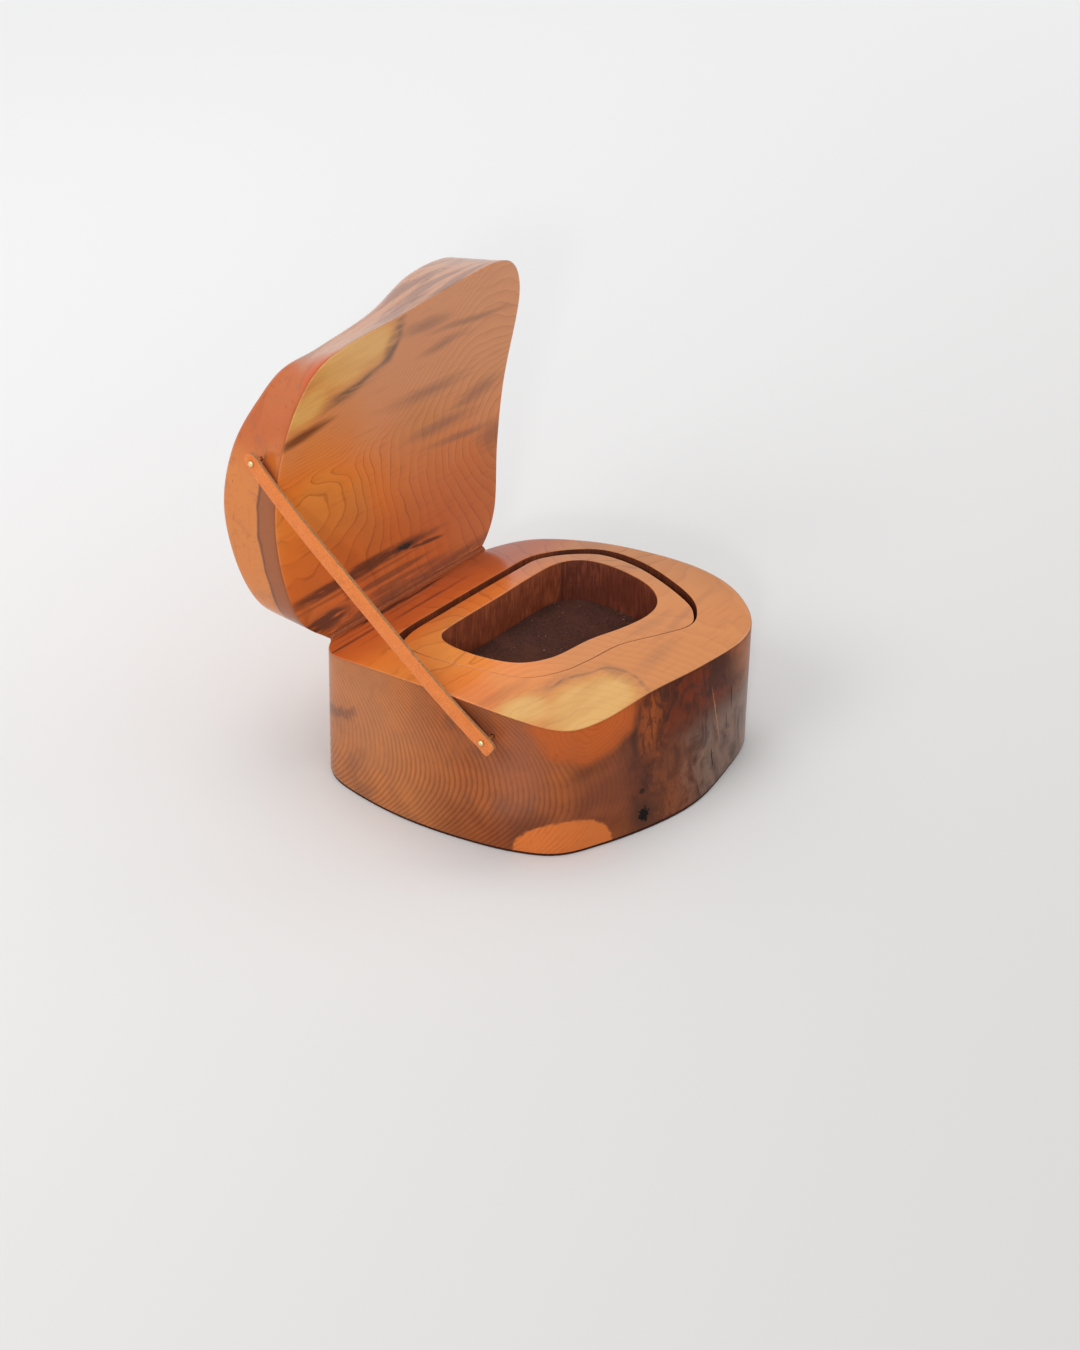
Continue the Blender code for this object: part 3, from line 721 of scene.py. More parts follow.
# Noises in the wood: size of the lumps in millimetres, detail, stretch, roughness, seed and swirl
NOISES = {
    "broad": (40, 1.0, None, 0.5, 1.0),
    "middling": (13, 1.0, None, 0.5, 2.0),
    "fine": (3.2, 3.0, None, 0.5, 3.0),
    "fibre": (1.6, 3.0, (0.12, 1.0, 0.5), 0.5, 4.0),
    "wall_rings": (17, 2.0, None, 0.5, 5.0),
    "swirls": (15, 6.0, (1.0, 1.0, 0.6), 0.62, 6.0, 1.6),
    "face_rings": (21, 2.0, None, 0.5, 7.0),
    "drawn": (6, 4.0, (0.16, 0.16, 1), 0.5, 8.0),
    "stripes": (6.0, 4.0, (0.10, 1.0, 0.3), 0.5, 9.0),
    "grainy": (14.0, 3.0, (0.5, 1.0, 0.5), 0.5, 10.0),
    "smoky": (19, 3.0, (1.0, 1.0, 0.7), 0.6, 11.0),
    "strands": (3.4, 5.0, (0.14, 1.0, 0.5), 0.62, 12.0, 0.4),
    "flecks": (4.5, 5.0, (1.0, 1.0, 0.5), 0.65, 13.0, 1.0),
    "pits": (1.3, 3.0, None, 0.6, 14.0),
    "strokes": (3.0, 4.0, (0.2, 0.10, 1), 0.6, 15.0),
    "nicks": (1.6, 2.0, (0.5, 0.3, 1.6), 0.5, 16.0),
    "clouded": (9, 3.0, (1.0, 1.0, 0.5), 0.6, 17.0),
}

# Figure of the sawn faces. A patch is its centre, half sizes and turn, in millimetres and degrees in the
# closed block. A hill of the rings adds its height in rings, a streak its strength, sapwood how ragged it is.
RING_HILLS = (
    (((-62, 13, 0), (33, 17, 1), -4), 2.9), (((66, 24, 0), (32, 18, 1), 0), -3.0),
    (((-20, 30, 0), (10, 9, 1), 40), 0.8), (((-50, -5, 0), (12, 4, 1), 10), -1.1),
)
SAPWOOD = (
    (((-40, -61, 0), (30, 18, 1), -6), 0.7), (((-62, -44, 0), (17, 10, 1), -20), 0.7),
    (((-22, -61, 0), (15, 13, 1), 10), 0.5),
)
SMOKE = (((-36, -41, 0), (14, 3.2, 1), -6), ((-9, -56, 0), (3.4, 9, 1), 12))
STAINS = (
    ((33, 2, 0), (19, 2.8, 1), 2), ((56, -5, 0), (13, 4.0, 1), -8), ((22, -19, 0), (21, 3.0, 1), 3),
    ((66, 21, 0), (11, 6.0, 1), 8), ((14, -57, 0), (14, 3.2, 1), 6), ((29, -41, 0), (12, 2.2, 1), -4),
    ((45, 13, 0), (20, 1.6, 1), 6), ((50, -47, 0), (24, 1.6, 1), 8),
)
LID_STREAKS = (
    ((-48, 49.6, 0), (52, 3.0, 1), 0.6, 0.9), ((-66, 62.0, 0), (18, 4.4, 1), 0, 0.95),
    ((-26, 58.6, 0), (32, 1.5, 1), 0, 0.65), ((-14, 63.4, 0), (34, 1.8, 1), 0, 0.6),
    ((-40, 54.2, 0), (46, 0.8, 1), 0, 0.5), ((8, 53.4, 0), (12, 0.9, 1), 6, 0.9),
)
BASE_STREAKS = (
    ((-64, 57.0, 0), (20, 1.4, 1), 0, 0.8), ((-16, 54.4, 0), (27, 1.3, 1), 0, 0.75),
    ((-24, 67.0, 0), (38, 1.9, 1), 0, 0.95), ((-8, 66.4, 0), (12, 1.3, 1), 0, 1.0),
    ((-46, 61.5, 0), (30, 0.9, 1), 0, 0.5), ((-58, 49.5, 0), (17, 0.7, 1), 0, 0.35),
)
LID_KNOT = ((-5.5, 50.2, 0), (6.0, 1.3, 1), 4)
BROWN_EDGE = ((-66, -29.5, 0), (16, 2.6, 1), -4)
BASE_GLOW = ((-46, -10, 0), (18, 30, 1), 0)

# Spots on the base's walls: centre, half sizes, softness of the edge, the noise that frays it and how far
BOWL = ((-42, -67, 72), (30, 30, 25.5))
LENS = ((-54.5, -61, 0), (23.5, 23.5, 19), 0.04, "fine", 0.14)
EMBER = ((-9, -72, 56), (9, 14, 20), 0.6, "swirls", 1.2)
DIMMED = ((-34, -72, 29), (26, 16, 17), 0.7, "middling", 0.8)
VEIN = ((38.3, -78, 33), (0.45, 9, 15.0), 0.6, "fine", 1.5)

# Marks are spots with a strength and a tint
HAZE = (((-72, -48, 44), (10, 14, 26), 0.8, "middling", 0.8), 0.35, (0.33, 0.13, 0.085))
# Painted sheen: a pale pinkish patch at the back of the base's left wall
LEFT_WALL_SHEEN = (((-84, 44, 50), (18, 34, 26), 0.95, "middling", 0.8), 0.42, (0.50, 0.215, 0.105))
HALO = (((-68, -54, 2), (11, 12, 22), 0.4, "middling", 0.3), 0.50, (0.10, 0.030, 0.016))
BARK = (((-19, -72, 56), (2.2, 14, 16), 0.7, "flecks", 2.0), 0.7, (0.060, 0.022, 0.010))
GLINT = (((66, -74, 58), (13, 16, 14), 0.95, "swirls", 1.4), 0.62, (0.50, 0.185, 0.078))
KNOT_HALO = (((-17.5, -77, 9), (6.5, 12, 8.5), 0.5, "fine", 0.6), 0.8, (0.075, 0.026, 0.014))

# Knot, smudge and drying cracks of the front: spots with a strength
BLACK_SPOTS = (
    (((-17.5, -78, 8.5), (2.6, 9, 3.4), 0.12, "pits", 3.2), 1.0),
    (((-17.2, -76, 20.5), (1.6, 6, 1.5), 0.4, "fine", 0.6), 0.7),
    (((31.4, -80, 16), (0.42, 9, 4.6), 0.4, "fine", 1.2), 1.0),
    (((50.4, -76, 39), (0.34, 9, 6.5), 0.5, "fine", 1.2), 0.85),
    (((45.8, -76, 28.5), (0.30, 9, 5.0), 0.5, "fine", 1.2), 0.7),
)


class Yew(Finish):
    """Polished yew, with the figure that the closed block has at each place."""

    def __init__(self, name, wood, lid=False, sunk=CLEARANCE, roughness=0.20, shine=0.5):
        super().__init__(name, roughness, lid)
        self.wood = wood
        self.lid = lid
        self.noises = {}
        self.flat = self.vector(self.x, self.y, 0.0)
        reach = (HINGE_Y * 1000 - self.y) * (1 / (JOINT_REACH * 1000))
        self.over = self.z - (reach * (1.0 - reach) * (ARCH_RISE * 4000) + BASE_HEIGHT * 1000)
        self.wall_slow, self.wall_late = self.wall_rings()
        self.dull = 0.0
        self.black = 0.0

        from_face = self.calc("ABSOLUTE", self.over) - sunk * 1000
        face = from_face.rise(0.60, 0.15)
        edge = from_face.rise(0.04, 0.35) * from_face.rise(1.9, 0.8)
        walls = self.lid_walls() if lid else self.base_walls()
        skin = self.colour(face, walls, self.faces())
        skin.shade(self.where("fibre", 0.52, 0.75) * 0.20, (0.55, 0.45, 0.42))
        # Painted shade: the rounded edges of the sawn faces are darkened, more on the lid than on the base
        skin.shade(edge * self.pick(0.45, 0.15), (0.50, 0.38, 0.34))

        # Gloss: a hand-rubbed finish, duller on the mottled front, broken by the cracks and the knot
        gloss = (self.sway("middling", 0.06) + roughness + edge * 0.15 + self.dull * (1.0 - face) * 0.02
                 + self.black * 0.4)
        relief = self.bump(1.0 - self.black, 0.7, 0.0006)
        relief = self.bump(self.noise("fibre") + self.wall_late * 0.4, 0.05, 0.0002, relief)
        relief = self.bump(self.noise("broad"), 0.05, 0.0015, relief)
        self.done(base_color=skin, roughness=gloss, normal=relief, ior=1.5, specular_ior_level=shine)

    def pick(self, for_lid, for_base):
        return for_lid if self.lid else for_base

    def noise(self, name):
        """One of the wood's noises, made when it is first needed."""
        if name not in self.noises:
            self.noises[name] = self.cloud(*NOISES[name])
        return self.noises[name]

    def sway(self, name, by):
        return self.noise(name).sway(by)

    def where(self, name, start, end):
        return self.noise(name).rise(start, end)

    def spot(self, centre, size, edge, fraying, rag, place=None):
        """Patch in the block, with an edge frayed by one of the wood's noises."""
        place = self.place if place is None else place
        return self.patch(place, centre, size, 0.0, edge, self.noise(fraying), rag)

    def mark(self, coat, spot, strength, tint):
        coat.lay(self.spot(*spot) * strength, tint)

    def on_face(self, patches, edge, fraying, rag):
        """Mask of patches on the sawn faces, frayed by one of the wood's noises."""
        return self.most(*[self.patch(self.flat, *patch, edge=edge, ragged=self.noise(fraying), rag=rag)
                           for patch in patches])

    def wall_rings(self):
        """Rings on the walls: bows that follow each other round the front left corner."""
        along = self.calc("SMOOTH_MAX", self.x + 68.0, 0.0, 8.0)
        behind = self.y.rise(15.0, 55.0)
        run = self.calc("SMOOTH_MIN", self.y * -1.0, 60.0, 8.0)
        run += self.calc("SMOOTH_MIN", along, 50.0, 10.0) * (1.0 - behind)
        run += along * behind * -0.5
        lift = self.z - 33.0
        bow = run + lift * lift * 0.0167 + self.sway("broad", 9.0) + self.sway("middling", 2.0)
        slow, late = ring_lines((bow + self.sway("fine", 0.3)) * (0.001 / self.wood.ring_pitch), 0.62)
        burl = (self.x + self.y * -0.4 + self.sway("middling", 22.0)).rise(-46.0, -12.0)
        return slow, late * self.where("wall_rings", 0.25, 0.55) * (1.0 - burl * 0.8)

    def face_rings(self):
        """Rings on the sawn faces: closed loops at the left, open ones at the right, close lines in front."""
        x, y = self.x, self.y
        right_of = self.calc("SMOOTH_MAX", x, -36.0, 16.0)
        below = self.calc("SMOOTH_MAX", -7.0 - y, 0.0, 10.0)
        field = right_of * -0.115 + x * -0.02
        for patch, height in RING_HILLS:
            field += self.patch(self.flat, *patch, edge=0.999) * height
        field += below * (self.pick(0.32, 0.22) - x.rise(-10.0, 60.0) * 0.16)
        field += y.rise(2.0, -34.0) * (right_of * (right_of * 0.0020 - 0.10))
        field += self.sway("broad", self.pick(1.6, 3.4)) + self.sway("middling", self.pick(1.0, 1.5))
        field += self.sway("fine", 0.14)
        return ring_lines(field * self.pick(1.0, 0.62), 0.22)

    def base_walls(self):
        """Brown ringed wood at the left, an orange bowl at the corner, dark mottled wood on the front."""
        x, y, z = self.x, self.y, self.z
        side = self.wood.weathered
        turned = (y + z * -0.25 + self.sway("broad", 36.0)).rise(4.0, -34.0)
        walls = self.colour(turned, side, tinted(side, (0.80, 0.66, 0.62)))
        walls.shade(self.where("middling", 0.40, 0.68) * 0.45, (1.35, 1.30, 1.15))
        walls.shade(self.wall_slow * 0.26, (0.70, 0.64, 0.60))
        walls.shade(self.wall_late * 0.52, (0.52, 0.42, 0.38))
        walls.lay(self.where("smoky", 0.50, 0.66) * 0.40, (0.17, 0.070, 0.045))
        self.mark(walls, *HAZE)
        foot_shade = (z + self.sway("middling", 24.0)).rise(26.0, 6.0) * y.rise(2.0, -18.0)
        walls.shade(foot_shade * 0.60, (0.58, 0.46, 0.42))
        # Painted sheen at the back of the left wall
        self.mark(walls, *LEFT_WALL_SHEEN)
        self.mottle_front(walls)
        walls.shade(self.spot(*DIMMED) * 0.9, (0.60, 0.54, 0.72))

        bowl_reach = self.reach(self.place, *BOWL, ragged=self.noise("middling"), rag=0.35)
        _, bowl_late = ring_lines(bowl_reach * 11.0, 0.6)
        bowl = self.colour(bowl_late * 0.26, (0.60, 0.125, 0.018), (0.34, 0.056, 0.010))
        bowl.lay(bowl_reach.rise(0.55, 1.0) * 0.30, (0.34, 0.062, 0.014))
        bowl.lay((x + self.sway("middling", 16.0)).rise(-44.0, -58.0) * 0.45, (0.46, 0.110, 0.034))
        under_bowl = bowl_reach.rise(1.45, 1.10) * x.rise(-62.0, -46.0)
        walls.shade(under_bowl * 0.55, (0.52, 0.40, 0.36))
        walls.lay(bowl_reach.rise(1.13, 0.87), bowl)
        self.mark(walls, *HALO)
        lens = self.colour(self.wall_late * 0.45, (0.68, 0.180, 0.040), (0.44, 0.10, 0.022))
        walls.lay(self.spot(*LENS), lens)
        slant = y * -0.42 + z * -1.0 + self.sway("fine", 9.0)
        purple = (slant.rise(-66.5, -63.0) * slant.rise(-57.5, -61.0)
                  * x.rise(-60.0, -76.0) * y.rise(36.0, 42.0))
        walls.lay(purple * 0.5, (0.11, 0.055, 0.050))

        self.mark(walls, *KNOT_HALO)
        wander = self.vector(x + (z - 33.0) * 0.14 + self.noise("fine") * 1.6, y, z)
        walls.lay(self.spot(*VEIN, place=wander) * 0.8, (0.42, 0.19, 0.08))
        self.black = self.most(*[self.spot(*spot) * strength for spot, strength in BLACK_SPOTS])
        walls.lay(self.black, (0.008, 0.005, 0.004))
        return walls

    def mottle_front(self, walls):
        """Mottle of the burr, grey at the lower right where a reflection of the floor is painted, with burnt
        wood under the rim.
        """
        x, y, over, flecks, swirls = self.x, self.y, self.over, self.noise("flecks"), self.noise("swirls")
        self.dull = (x + self.sway("middling", 16.0)).rise(-36.0, -14.0) * y.rise(62.0, 40.0)
        mottle = self.colour(swirls.rise(0.34, 0.62), tinted(self.wood.burr, 0.8), (0.24, 0.066, 0.024))
        # Painted reflection: the lower right of the front wall is painted grey as if it mirrored the pale
        # floor, mottled like the burr
        mottle_and_floor_reflection = (x + swirls.sway(50.0)).rise(2.0, 30.0) * (over + flecks.sway(16.0)).rise(-16.0, -30.0)
        mottle_and_reflection_tone = self.colour(swirls.rise(0.36, 0.62), (0.080, 0.044, 0.034), (0.235, 0.145, 0.108))
        mottle.lay(mottle_and_floor_reflection * 0.85, mottle_and_reflection_tone)
        mottle.lay(flecks.rise(0.54, 0.70) * 0.65, (0.050, 0.018, 0.010))
        mottle.lay(flecks.rise(0.42, 0.30) * 0.40, (0.36, 0.14, 0.060))
        mottle.lay(self.wall_late * 0.40, (0.05, 0.02, 0.012))
        # Painted reflection: a pale grey band toward the right end of the front wall
        mottle.lay((x + swirls.sway(24.0)).rise(44.0, 70.0) * 0.55, (0.33, 0.215, 0.165))
        walls.lay(self.dull, mottle)
        rim = (over + swirls.sway(26.0)).rise(-34.0, -15.0) * x.rise(-16.0, -2.0) * y.rise(20.0, -20.0)
        rim_tone = self.colour(swirls.rise(0.40, 0.60), (0.19, 0.026, 0.004), self.wood.streak)
        rim_tone.lay(flecks.rise(0.44, 0.60) * 0.5, (0.030, 0.010, 0.006))
        walls.lay(rim * 0.9, rim_tone)
        ember = self.colour(flecks.rise(0.42, 0.58), (0.42, 0.095, 0.016), (0.17, 0.036, 0.010))
        walls.lay(self.spot(*EMBER) * 0.85, ember)
        self.mark(walls, *BARK)
        self.mark(walls, *GLINT)

    def lid_walls(self):
        """Redder walls and outer face, pale with a painted sheen and streaked with grey in front, with a dark
        band at the left.
        """
        x, y, over = self.x, self.y, self.over
        crown = self.colour(self.wall_late * 0.30, (0.60, 0.160, 0.028), (0.36, 0.070, 0.014))
        crown.lay(self.where("broad", 0.45, 0.68) * 0.5, (0.56, 0.21, 0.06))
        crown.lay(self.where("fibre", 0.58, 0.72) * 0.22, (0.22, 0.05, 0.018))
        ruddy = (y + self.sway("middling", 20.0)).rise(-8.0, -30.0)
        crown.lay(ruddy * 0.65, (0.50, 0.100, 0.020))
        golden = (y + self.sway("middling", 26.0) + over * -0.3).rise(-34.0, -12.0)
        crown.lay(golden * 0.50, (0.68, 0.235, 0.046))
        crown.lay(self.where("clouded", 0.52, 0.70) * 0.35, (0.33, 0.095, 0.050))
        # Painted sheen: the lid's front wall, which faces up when the lid is open, is painted pale pink; grey
        # streaks and orange wood are laid within it
        front_sheen = ((y + self.sway("broad", 24.0)).rise(-47.0, -63.0)
                 * (x + self.sway("middling", 20.0)).rise(-62.0, -42.0))
        crown.lay(front_sheen * 0.88, (0.62, 0.36, 0.245))
        crown.lay(front_sheen * self.where("drawn", 0.48, 0.62) * 0.62, (0.27, 0.165, 0.150))
        crown.lay(front_sheen * self.where("drawn", 0.44, 0.32) * 0.40, (0.60, 0.20, 0.080))
        crown.shade(self.where("strokes", 0.52, 0.68) * 0.35, (0.62, 0.50, 0.44))
        crease = self.spot((-56, -62, 1), (13, 9, 4.5), 0.7, "fine", 0.9, place=self.vector(x, y, over))
        crown.lay(crease * 0.75, (0.60, 0.090, 0.012))
        crown.lay(self.where("nicks", 0.69, 0.76) * 0.8, (0.12, 0.035, 0.016))
        lifted = over + self.sway("middling", 5.0)
        band = lifted.rise(13.5, 12.0) * (y + lifted).rise(-14.0, -2.0) * x.rise(-30.0, -60.0)
        crown.lay(band * 0.85, (0.27, 0.070, 0.018))
        crown.lay(band * lifted.rise(10.5, 12.0) * 0.6, (0.10, 0.035, 0.02))
        return crown

    def faces(self):
        """The sawn faces: heartwood with rings, pale sapwood at the front left, stains and dark streaks."""
        x, y, pick = self.x, self.y, self.pick
        heart = self.wood.heartwood
        slow, late = self.face_rings()
        faces = self.colour(self.where("broad", 0.36, 0.66), heart, tinted(heart, (0.94, 1.20, 1.7)))
        drift = self.sway("broad", 50.0)
        if self.lid:
            faces.shade((x + drift).rise(10.0, -50.0), (1.28, 1.25, 1.05))
            pale = (y + drift + x * -0.25).rise(16.0, -36.0) * 0.9
            reddened = (y + drift * 0.4).rise(2.0, 50.0)
        else:
            pale = (x * 0.7 + y * -1.0 + drift).rise(-34.0, 26.0)
            reddened = (y + drift * 0.2).rise(22.0, 52.0)
        faces.lay(pale, tinted(heart, pick((1.04, 1.60, 4.3), (0.90, 1.23, 2.3))))
        faces.lay(reddened * pick(0.65, 0.85), (0.58, 0.100, 0.014))
        if not self.lid:
            faces.shade(self.on_face([BASE_GLOW], 0.95, "middling", 0.6), (1.18, 1.22, 1.15))
            # Painted shade: the base's top is darker toward the back right
            faces.shade((x + y * 0.7 + drift * 0.3).rise(20.0, 76.0) * 0.9, (0.76, 0.82, 0.95))
        faces.shade(slow * pick(0.26, 0.18), (0.76, 0.64, 0.58))
        strength = self.where("face_rings", 0.30, 0.60) * (y.rise(-2.0, -22.0) * pick(-0.18, -0.28) + 0.36)
        faces.shade(late * strength, (0.40, 0.26, 0.21))
        self.lay_sapwood(faces, late)
        self.lay_hinge_streaks(faces)
        return faces

    def lay_sapwood(self, faces, late):
        """Sapwood with its dark fringe, then the smoke and stains over both."""
        pick = self.pick
        wisps = self.where("strands", 0.34, 0.60)
        reaches = [self.reach(self.flat, *patch, self.noise("grainy"), rag) for patch, rag in SAPWOOD]
        sap_reach = reaches[0]
        for other in reaches[1:]:
            sap_reach = self.calc("SMOOTH_MIN", sap_reach, other, 0.2)
        inner, crest, outer = pick((0.92, 1.12, 1.34), (1.03, 1.12, 1.22))
        fringe = (sap_reach.rise(outer, crest) * sap_reach.rise(inner, crest)
                  * (self.x + self.y).rise(-92.0, -78.0) * (wisps * 0.75 + 0.25))
        sapwood = tinted(self.wood.sapwood, pick(1.2, 1.0))
        sap = self.colour(sap_reach.rise(0.35, 1.0), sapwood, tinted(sapwood, (0.92, 0.76, 0.60)))
        sap.shade(self.where("stripes", 0.46, 0.64) * 0.35, (0.80, 0.66, 0.50))
        sap.shade(late * 0.30, (0.80, 0.68, 0.60))
        faces.lay(sap_reach.rise(1.25, 0.60) * 0.95, sap)
        faces.lay(fringe * pick(0.70, 0.50), (0.16, 0.095, 0.055))
        smoke = self.on_face(SMOKE, 0.8, "middling", 1.0)
        faces.lay(smoke * pick(0.60, 0.30) * wisps, (0.15, 0.085, 0.045))
        faces.lay(self.on_face(STAINS, 0.95, "strands", 2.2) * pick(0.50, 0.22), (0.20, 0.080, 0.052))
        faces.lay(self.on_face([BROWN_EDGE], 0.7, "strands", 1.2) * pick(0.8, 0.2), (0.14, 0.036, 0.014))

    def lay_hinge_streaks(self, faces):
        """Dark streaks along the hinge: the lid's side of the cut took the wider ones."""
        bands = [self.on_face([patch], 0.40, "stripes", 1.5) * strength
                 for *patch, strength in self.pick(LID_STREAKS, BASE_STREAKS)]
        if self.lid:
            bands.append(self.y.rise(62.0, 67.0) * 0.7)
        streaks = self.most(0.0, *bands) * self.where("fibre", 0.22, 0.50)
        faces.lay(streaks * 0.55, (0.24, 0.056, 0.018))
        faces.lay(streaks * streaks * 0.85, self.wood.streak)
        if self.lid:
            faces.lay(self.on_face([LID_KNOT], 0.5, "fine", 1.4), (0.014, 0.006, 0.004))


def yew(name, wood, **choices):
    return Yew(name, wood, **choices).material


def sawn_wood(name, tint):
    """Unpolished wood inside a hollow, with the bandsaw's upright tooth marks."""
    finish = Finish(name, 0.62)
    marks = finish.cloud(0.75, 2.0, (1.0, 1.0, 0.10), shift=21.0)
    burns = finish.cloud(14, 3.0, (1.0, 1.0, 0.6), shift=22.0)
    layers = finish.cloud(2.2, 3.0, (0.35, 0.35, 1.3), shift=23.0)
    specks = finish.cloud(0.5, 2.0, shift=24.0)
    dark = tinted(tint, (0.50, 0.40, 0.36))
    coat = finish.colour(marks.rise(0.34, 0.68), dark, tint)
    coat.lay(burns.rise(0.42, 0.68) * 0.65, dark)
    coat.lay(layers.rise(0.50, 0.70) * 0.4, dark)
    coat.lay(specks.rise(0.66, 0.74) * 0.35, tinted(tint, 1.9))
    coat.shade((finish.x + finish.y * -0.6).rise(26.0, 36.0), (0.50, 0.48, 0.60))
    # Painted shade: a dark upright line in the back right corner of the tray's hollow
    corner_shade_line = finish.patch(finish.place, (45, 23.5, 66), (0.9, 3.5, 40), edge=0.5)
    coat.lay(corner_shade_line * 0.5, (0.05, 0.015, 0.008))
    relief = finish.bump(layers, 0.15, 0.0003, finish.bump(marks, 0.45, 0.0004))
    return finish.done(base_color=coat, normal=relief, ior=1.4)


def suede(name, tint, shift):
    """Dark napped suede with lighter worn places and a few specks of dust."""
    finish = Finish(name, 0.95)
    nap = finish.cloud(0.55, 3.0, rough=0.65, shift=shift)
    brushed = finish.cloud(9, 4.0, (1.0, 0.6, 1.0), shift=shift + 1)
    dust = finish.cloud(0.9, 0.0, shift=shift + 2)
    pale = tinted(tint, (2.5, 2.4, 2.2))
    coat = finish.colour(nap.rise(0.32, 0.72), tinted(tint, 0.55), pale)
    coat.lay(brushed.rise(0.45, 0.70) * 0.55, pale)
    coat.lay(dust.rise(0.80, 0.84) * 0.8, (0.42, 0.33, 0.27))
    return finish.done(base_color=coat, normal=finish.bump(nap, 0.7, 0.0005), specular_ior_level=0.15,
                       sheen_weight=0.18, sheen_roughness=0.5, sheen_tint=(0.60, 0.42, 0.36))


def hide(name, tint, dark_share, shift):
    """Suede side of leather: short fibres, darker handled places and pale scuffs."""
    finish = Finish(name, 0.85)
    fibres = finish.cloud(0.5, 4.0, (1.0, 0.7, 1.0), rough=0.7, shift=shift)
    blotch = finish.cloud(5, 3.0, shift=shift + 1)
    scuffs = finish.cloud(1.5, 3.0, (1.0, 0.4, 0.8), rough=0.6, shift=shift + 2)
    dark = tinted(tint, (dark_share, dark_share * 0.8, dark_share * 0.7))
    coat = finish.colour(fibres.rise(0.30, 0.66), dark, tint)
    coat.lay(blotch.rise(0.46, 0.70) * 0.35, dark)
    coat.lay(scuffs.rise(0.58, 0.72) * 0.30, tinted(tint, (1.12, 1.5, 2.2)))
    relief = finish.bump(blotch, 0.2, 0.0004, finish.bump(fibres, 0.55, 0.0004))
    return finish.done(base_color=coat, normal=relief, specular_ior_level=0.25, sheen_weight=0.12,
                       sheen_roughness=0.5)


def brass(name, shift):
    """Handled brass: bright on the dome, with small dents and a trace of tarnish."""
    finish = Finish(name, 0.22)
    dents = finish.cloud(0.9, 2.0, shift=shift)
    tarnish = finish.cloud(0.6, 3.0, shift=shift + 1)
    coat = finish.colour(tarnish.rise(0.50, 0.75), (0.86, 0.66, 0.32), (0.50, 0.30, 0.11))
    return finish.done(base_color=coat, roughness=tarnish * 0.22 + 0.16,
                       normal=finish.bump(dents, 0.18, 0.0003), metallic=1.0)


def dress(piece, *finishes):
    """Gives a new piece its finishes, in the order of its faces' finish numbers."""
    for finish in finishes:
        piece.data.materials.append(finish)


def stand_for(piece, body, node):
    """Ties a piece to a body, and hides the one CAD node that it stands for."""
    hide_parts(node)
    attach(piece, body)


def edge_radii(radius):
    """Radius along the joint's edge: crisp at the front left, hand-worn toward the back right."""
    radii = []
    for point in BLOCK_LOOP:
        worn = smoothstep((point.x / BOX_LENGTH + point.y / BOX_DEPTH * 0.6 + 0.1) / 0.5)
        radii.append(radius * (1 + 1.6 * worn))
    return radii


def heights(node):
    low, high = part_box(node)
    return low.z, high.z


def seam(low, high):
    """Height where two glued pieces meet, midway between their CAD faces."""
    return (heights(low)[1] + heights(high)[0]) / 2


# Operators

class JEWELBOX_OT_base(bpy.types.Operator):
    """Build the sawn base: the block with its pocket, and the floor slice glued under it"""
    bl_idname = "jewelbox.base"
    bl_label = "Base block and floor"

    def execute(self, context):
        wood = context.scene.jewelbox_wood
        side = yew("yew_block_side", wood, roughness=0.28, shine=0.12)
        polished = yew("yew_block_top", wood, roughness=0.18, shine=0.55)
        glue_line = seam("base_floor", "base_block")
        pocket = facing(POCKET_LOOP, BLOCK_LOOP, Vector((0, 0)))

        def head(y):
            return joint_height(y) - CLEARANCE

        block = hollow_block("box_base", BLOCK_LOOP, pocket, glue_line, head, raked,
                             edge_radii(wood.edge_radius), POCKET_EDGE)
        dress(block, side, sawn_wood("pocket_wall_sawn", (0.34, 0.085, 0.024)), polished)
        saw_joint(block, "base", -1, BASE_PIN)
        stand_for(block, "base", "base_block")

        floor = solid_slab("box_base_floor", BLOCK_LOOP, UNDERLAY_THICKNESS + CLEARANCE, glue_line, raked)
        dress(floor, yew("yew_floor_side", wood, roughness=0.28, shine=0.12))
        stand_for(floor, "base", "base_floor")
        return {"FINISHED"}


class JEWELBOX_OT_tray(bpy.types.Operator):
    """Build the lift-out tray with its floor, and the ring in the pocket that carries it"""
    bl_idname = "jewelbox.tray"
    bl_label = "Tray and its support"

    def execute(self, context):
        wood = context.scene.jewelbox_wood
        glue_line = seam("tray_floor", "tray_body")
        cavity = facing(CAVITY_LOOP, TRAY_LOOP, middle_of(CAVITY_LOOP))
        radii = [wood.edge_radius * TRAY_EDGE_SHARE] * len(TRAY_LOOP)

        def head(y):
            return joint_height(y) - CLEARANCE - TRAY_DROP

        body = hollow_block("tray_rim", TRAY_LOOP, cavity, glue_line, head, straight, radii, CAVITY_EDGE)
        dress(body, sawn_wood("tray_wall_sawn", (0.50, 0.175, 0.066)),
              sawn_wood("cavity_wall_sawn", (0.47, 0.122, 0.048)),
              yew("yew_tray_polished", wood, sunk=CLEARANCE + TRAY_DROP, roughness=0.18, shine=0.6))
        stand_for(body, "tray", "tray_body")

        floor = solid_slab("tray_base", TRAY_LOOP, BASE_HEIGHT - TRAY_BELOW_HINGE, glue_line, straight)
        dress(floor, yew("yew_tray_floor_satin", wood, roughness=0.32))
        stand_for(floor, "tray", "tray_floor")

        outer = inset(POCKET_LOOP, CLEARANCE)
        opening = shrunk(POCKET_LOOP, SUPPORT_OPENING_SHARE)
        foot, top = heights("tray_support")
        outer_edge, inner_edge = LEDGE_EDGES
        ring = hollow_block("tray_ledge", outer, opening, foot, lambda y: top, straight,
                            [outer_edge] * len(outer), inner_edge)
        dress(ring, *[sawn_wood("ledge_sawn", (0.42, 0.16, 0.060))] * 3)
        stand_for(ring, "base", "tray_support")
        return {"FINISHED"}


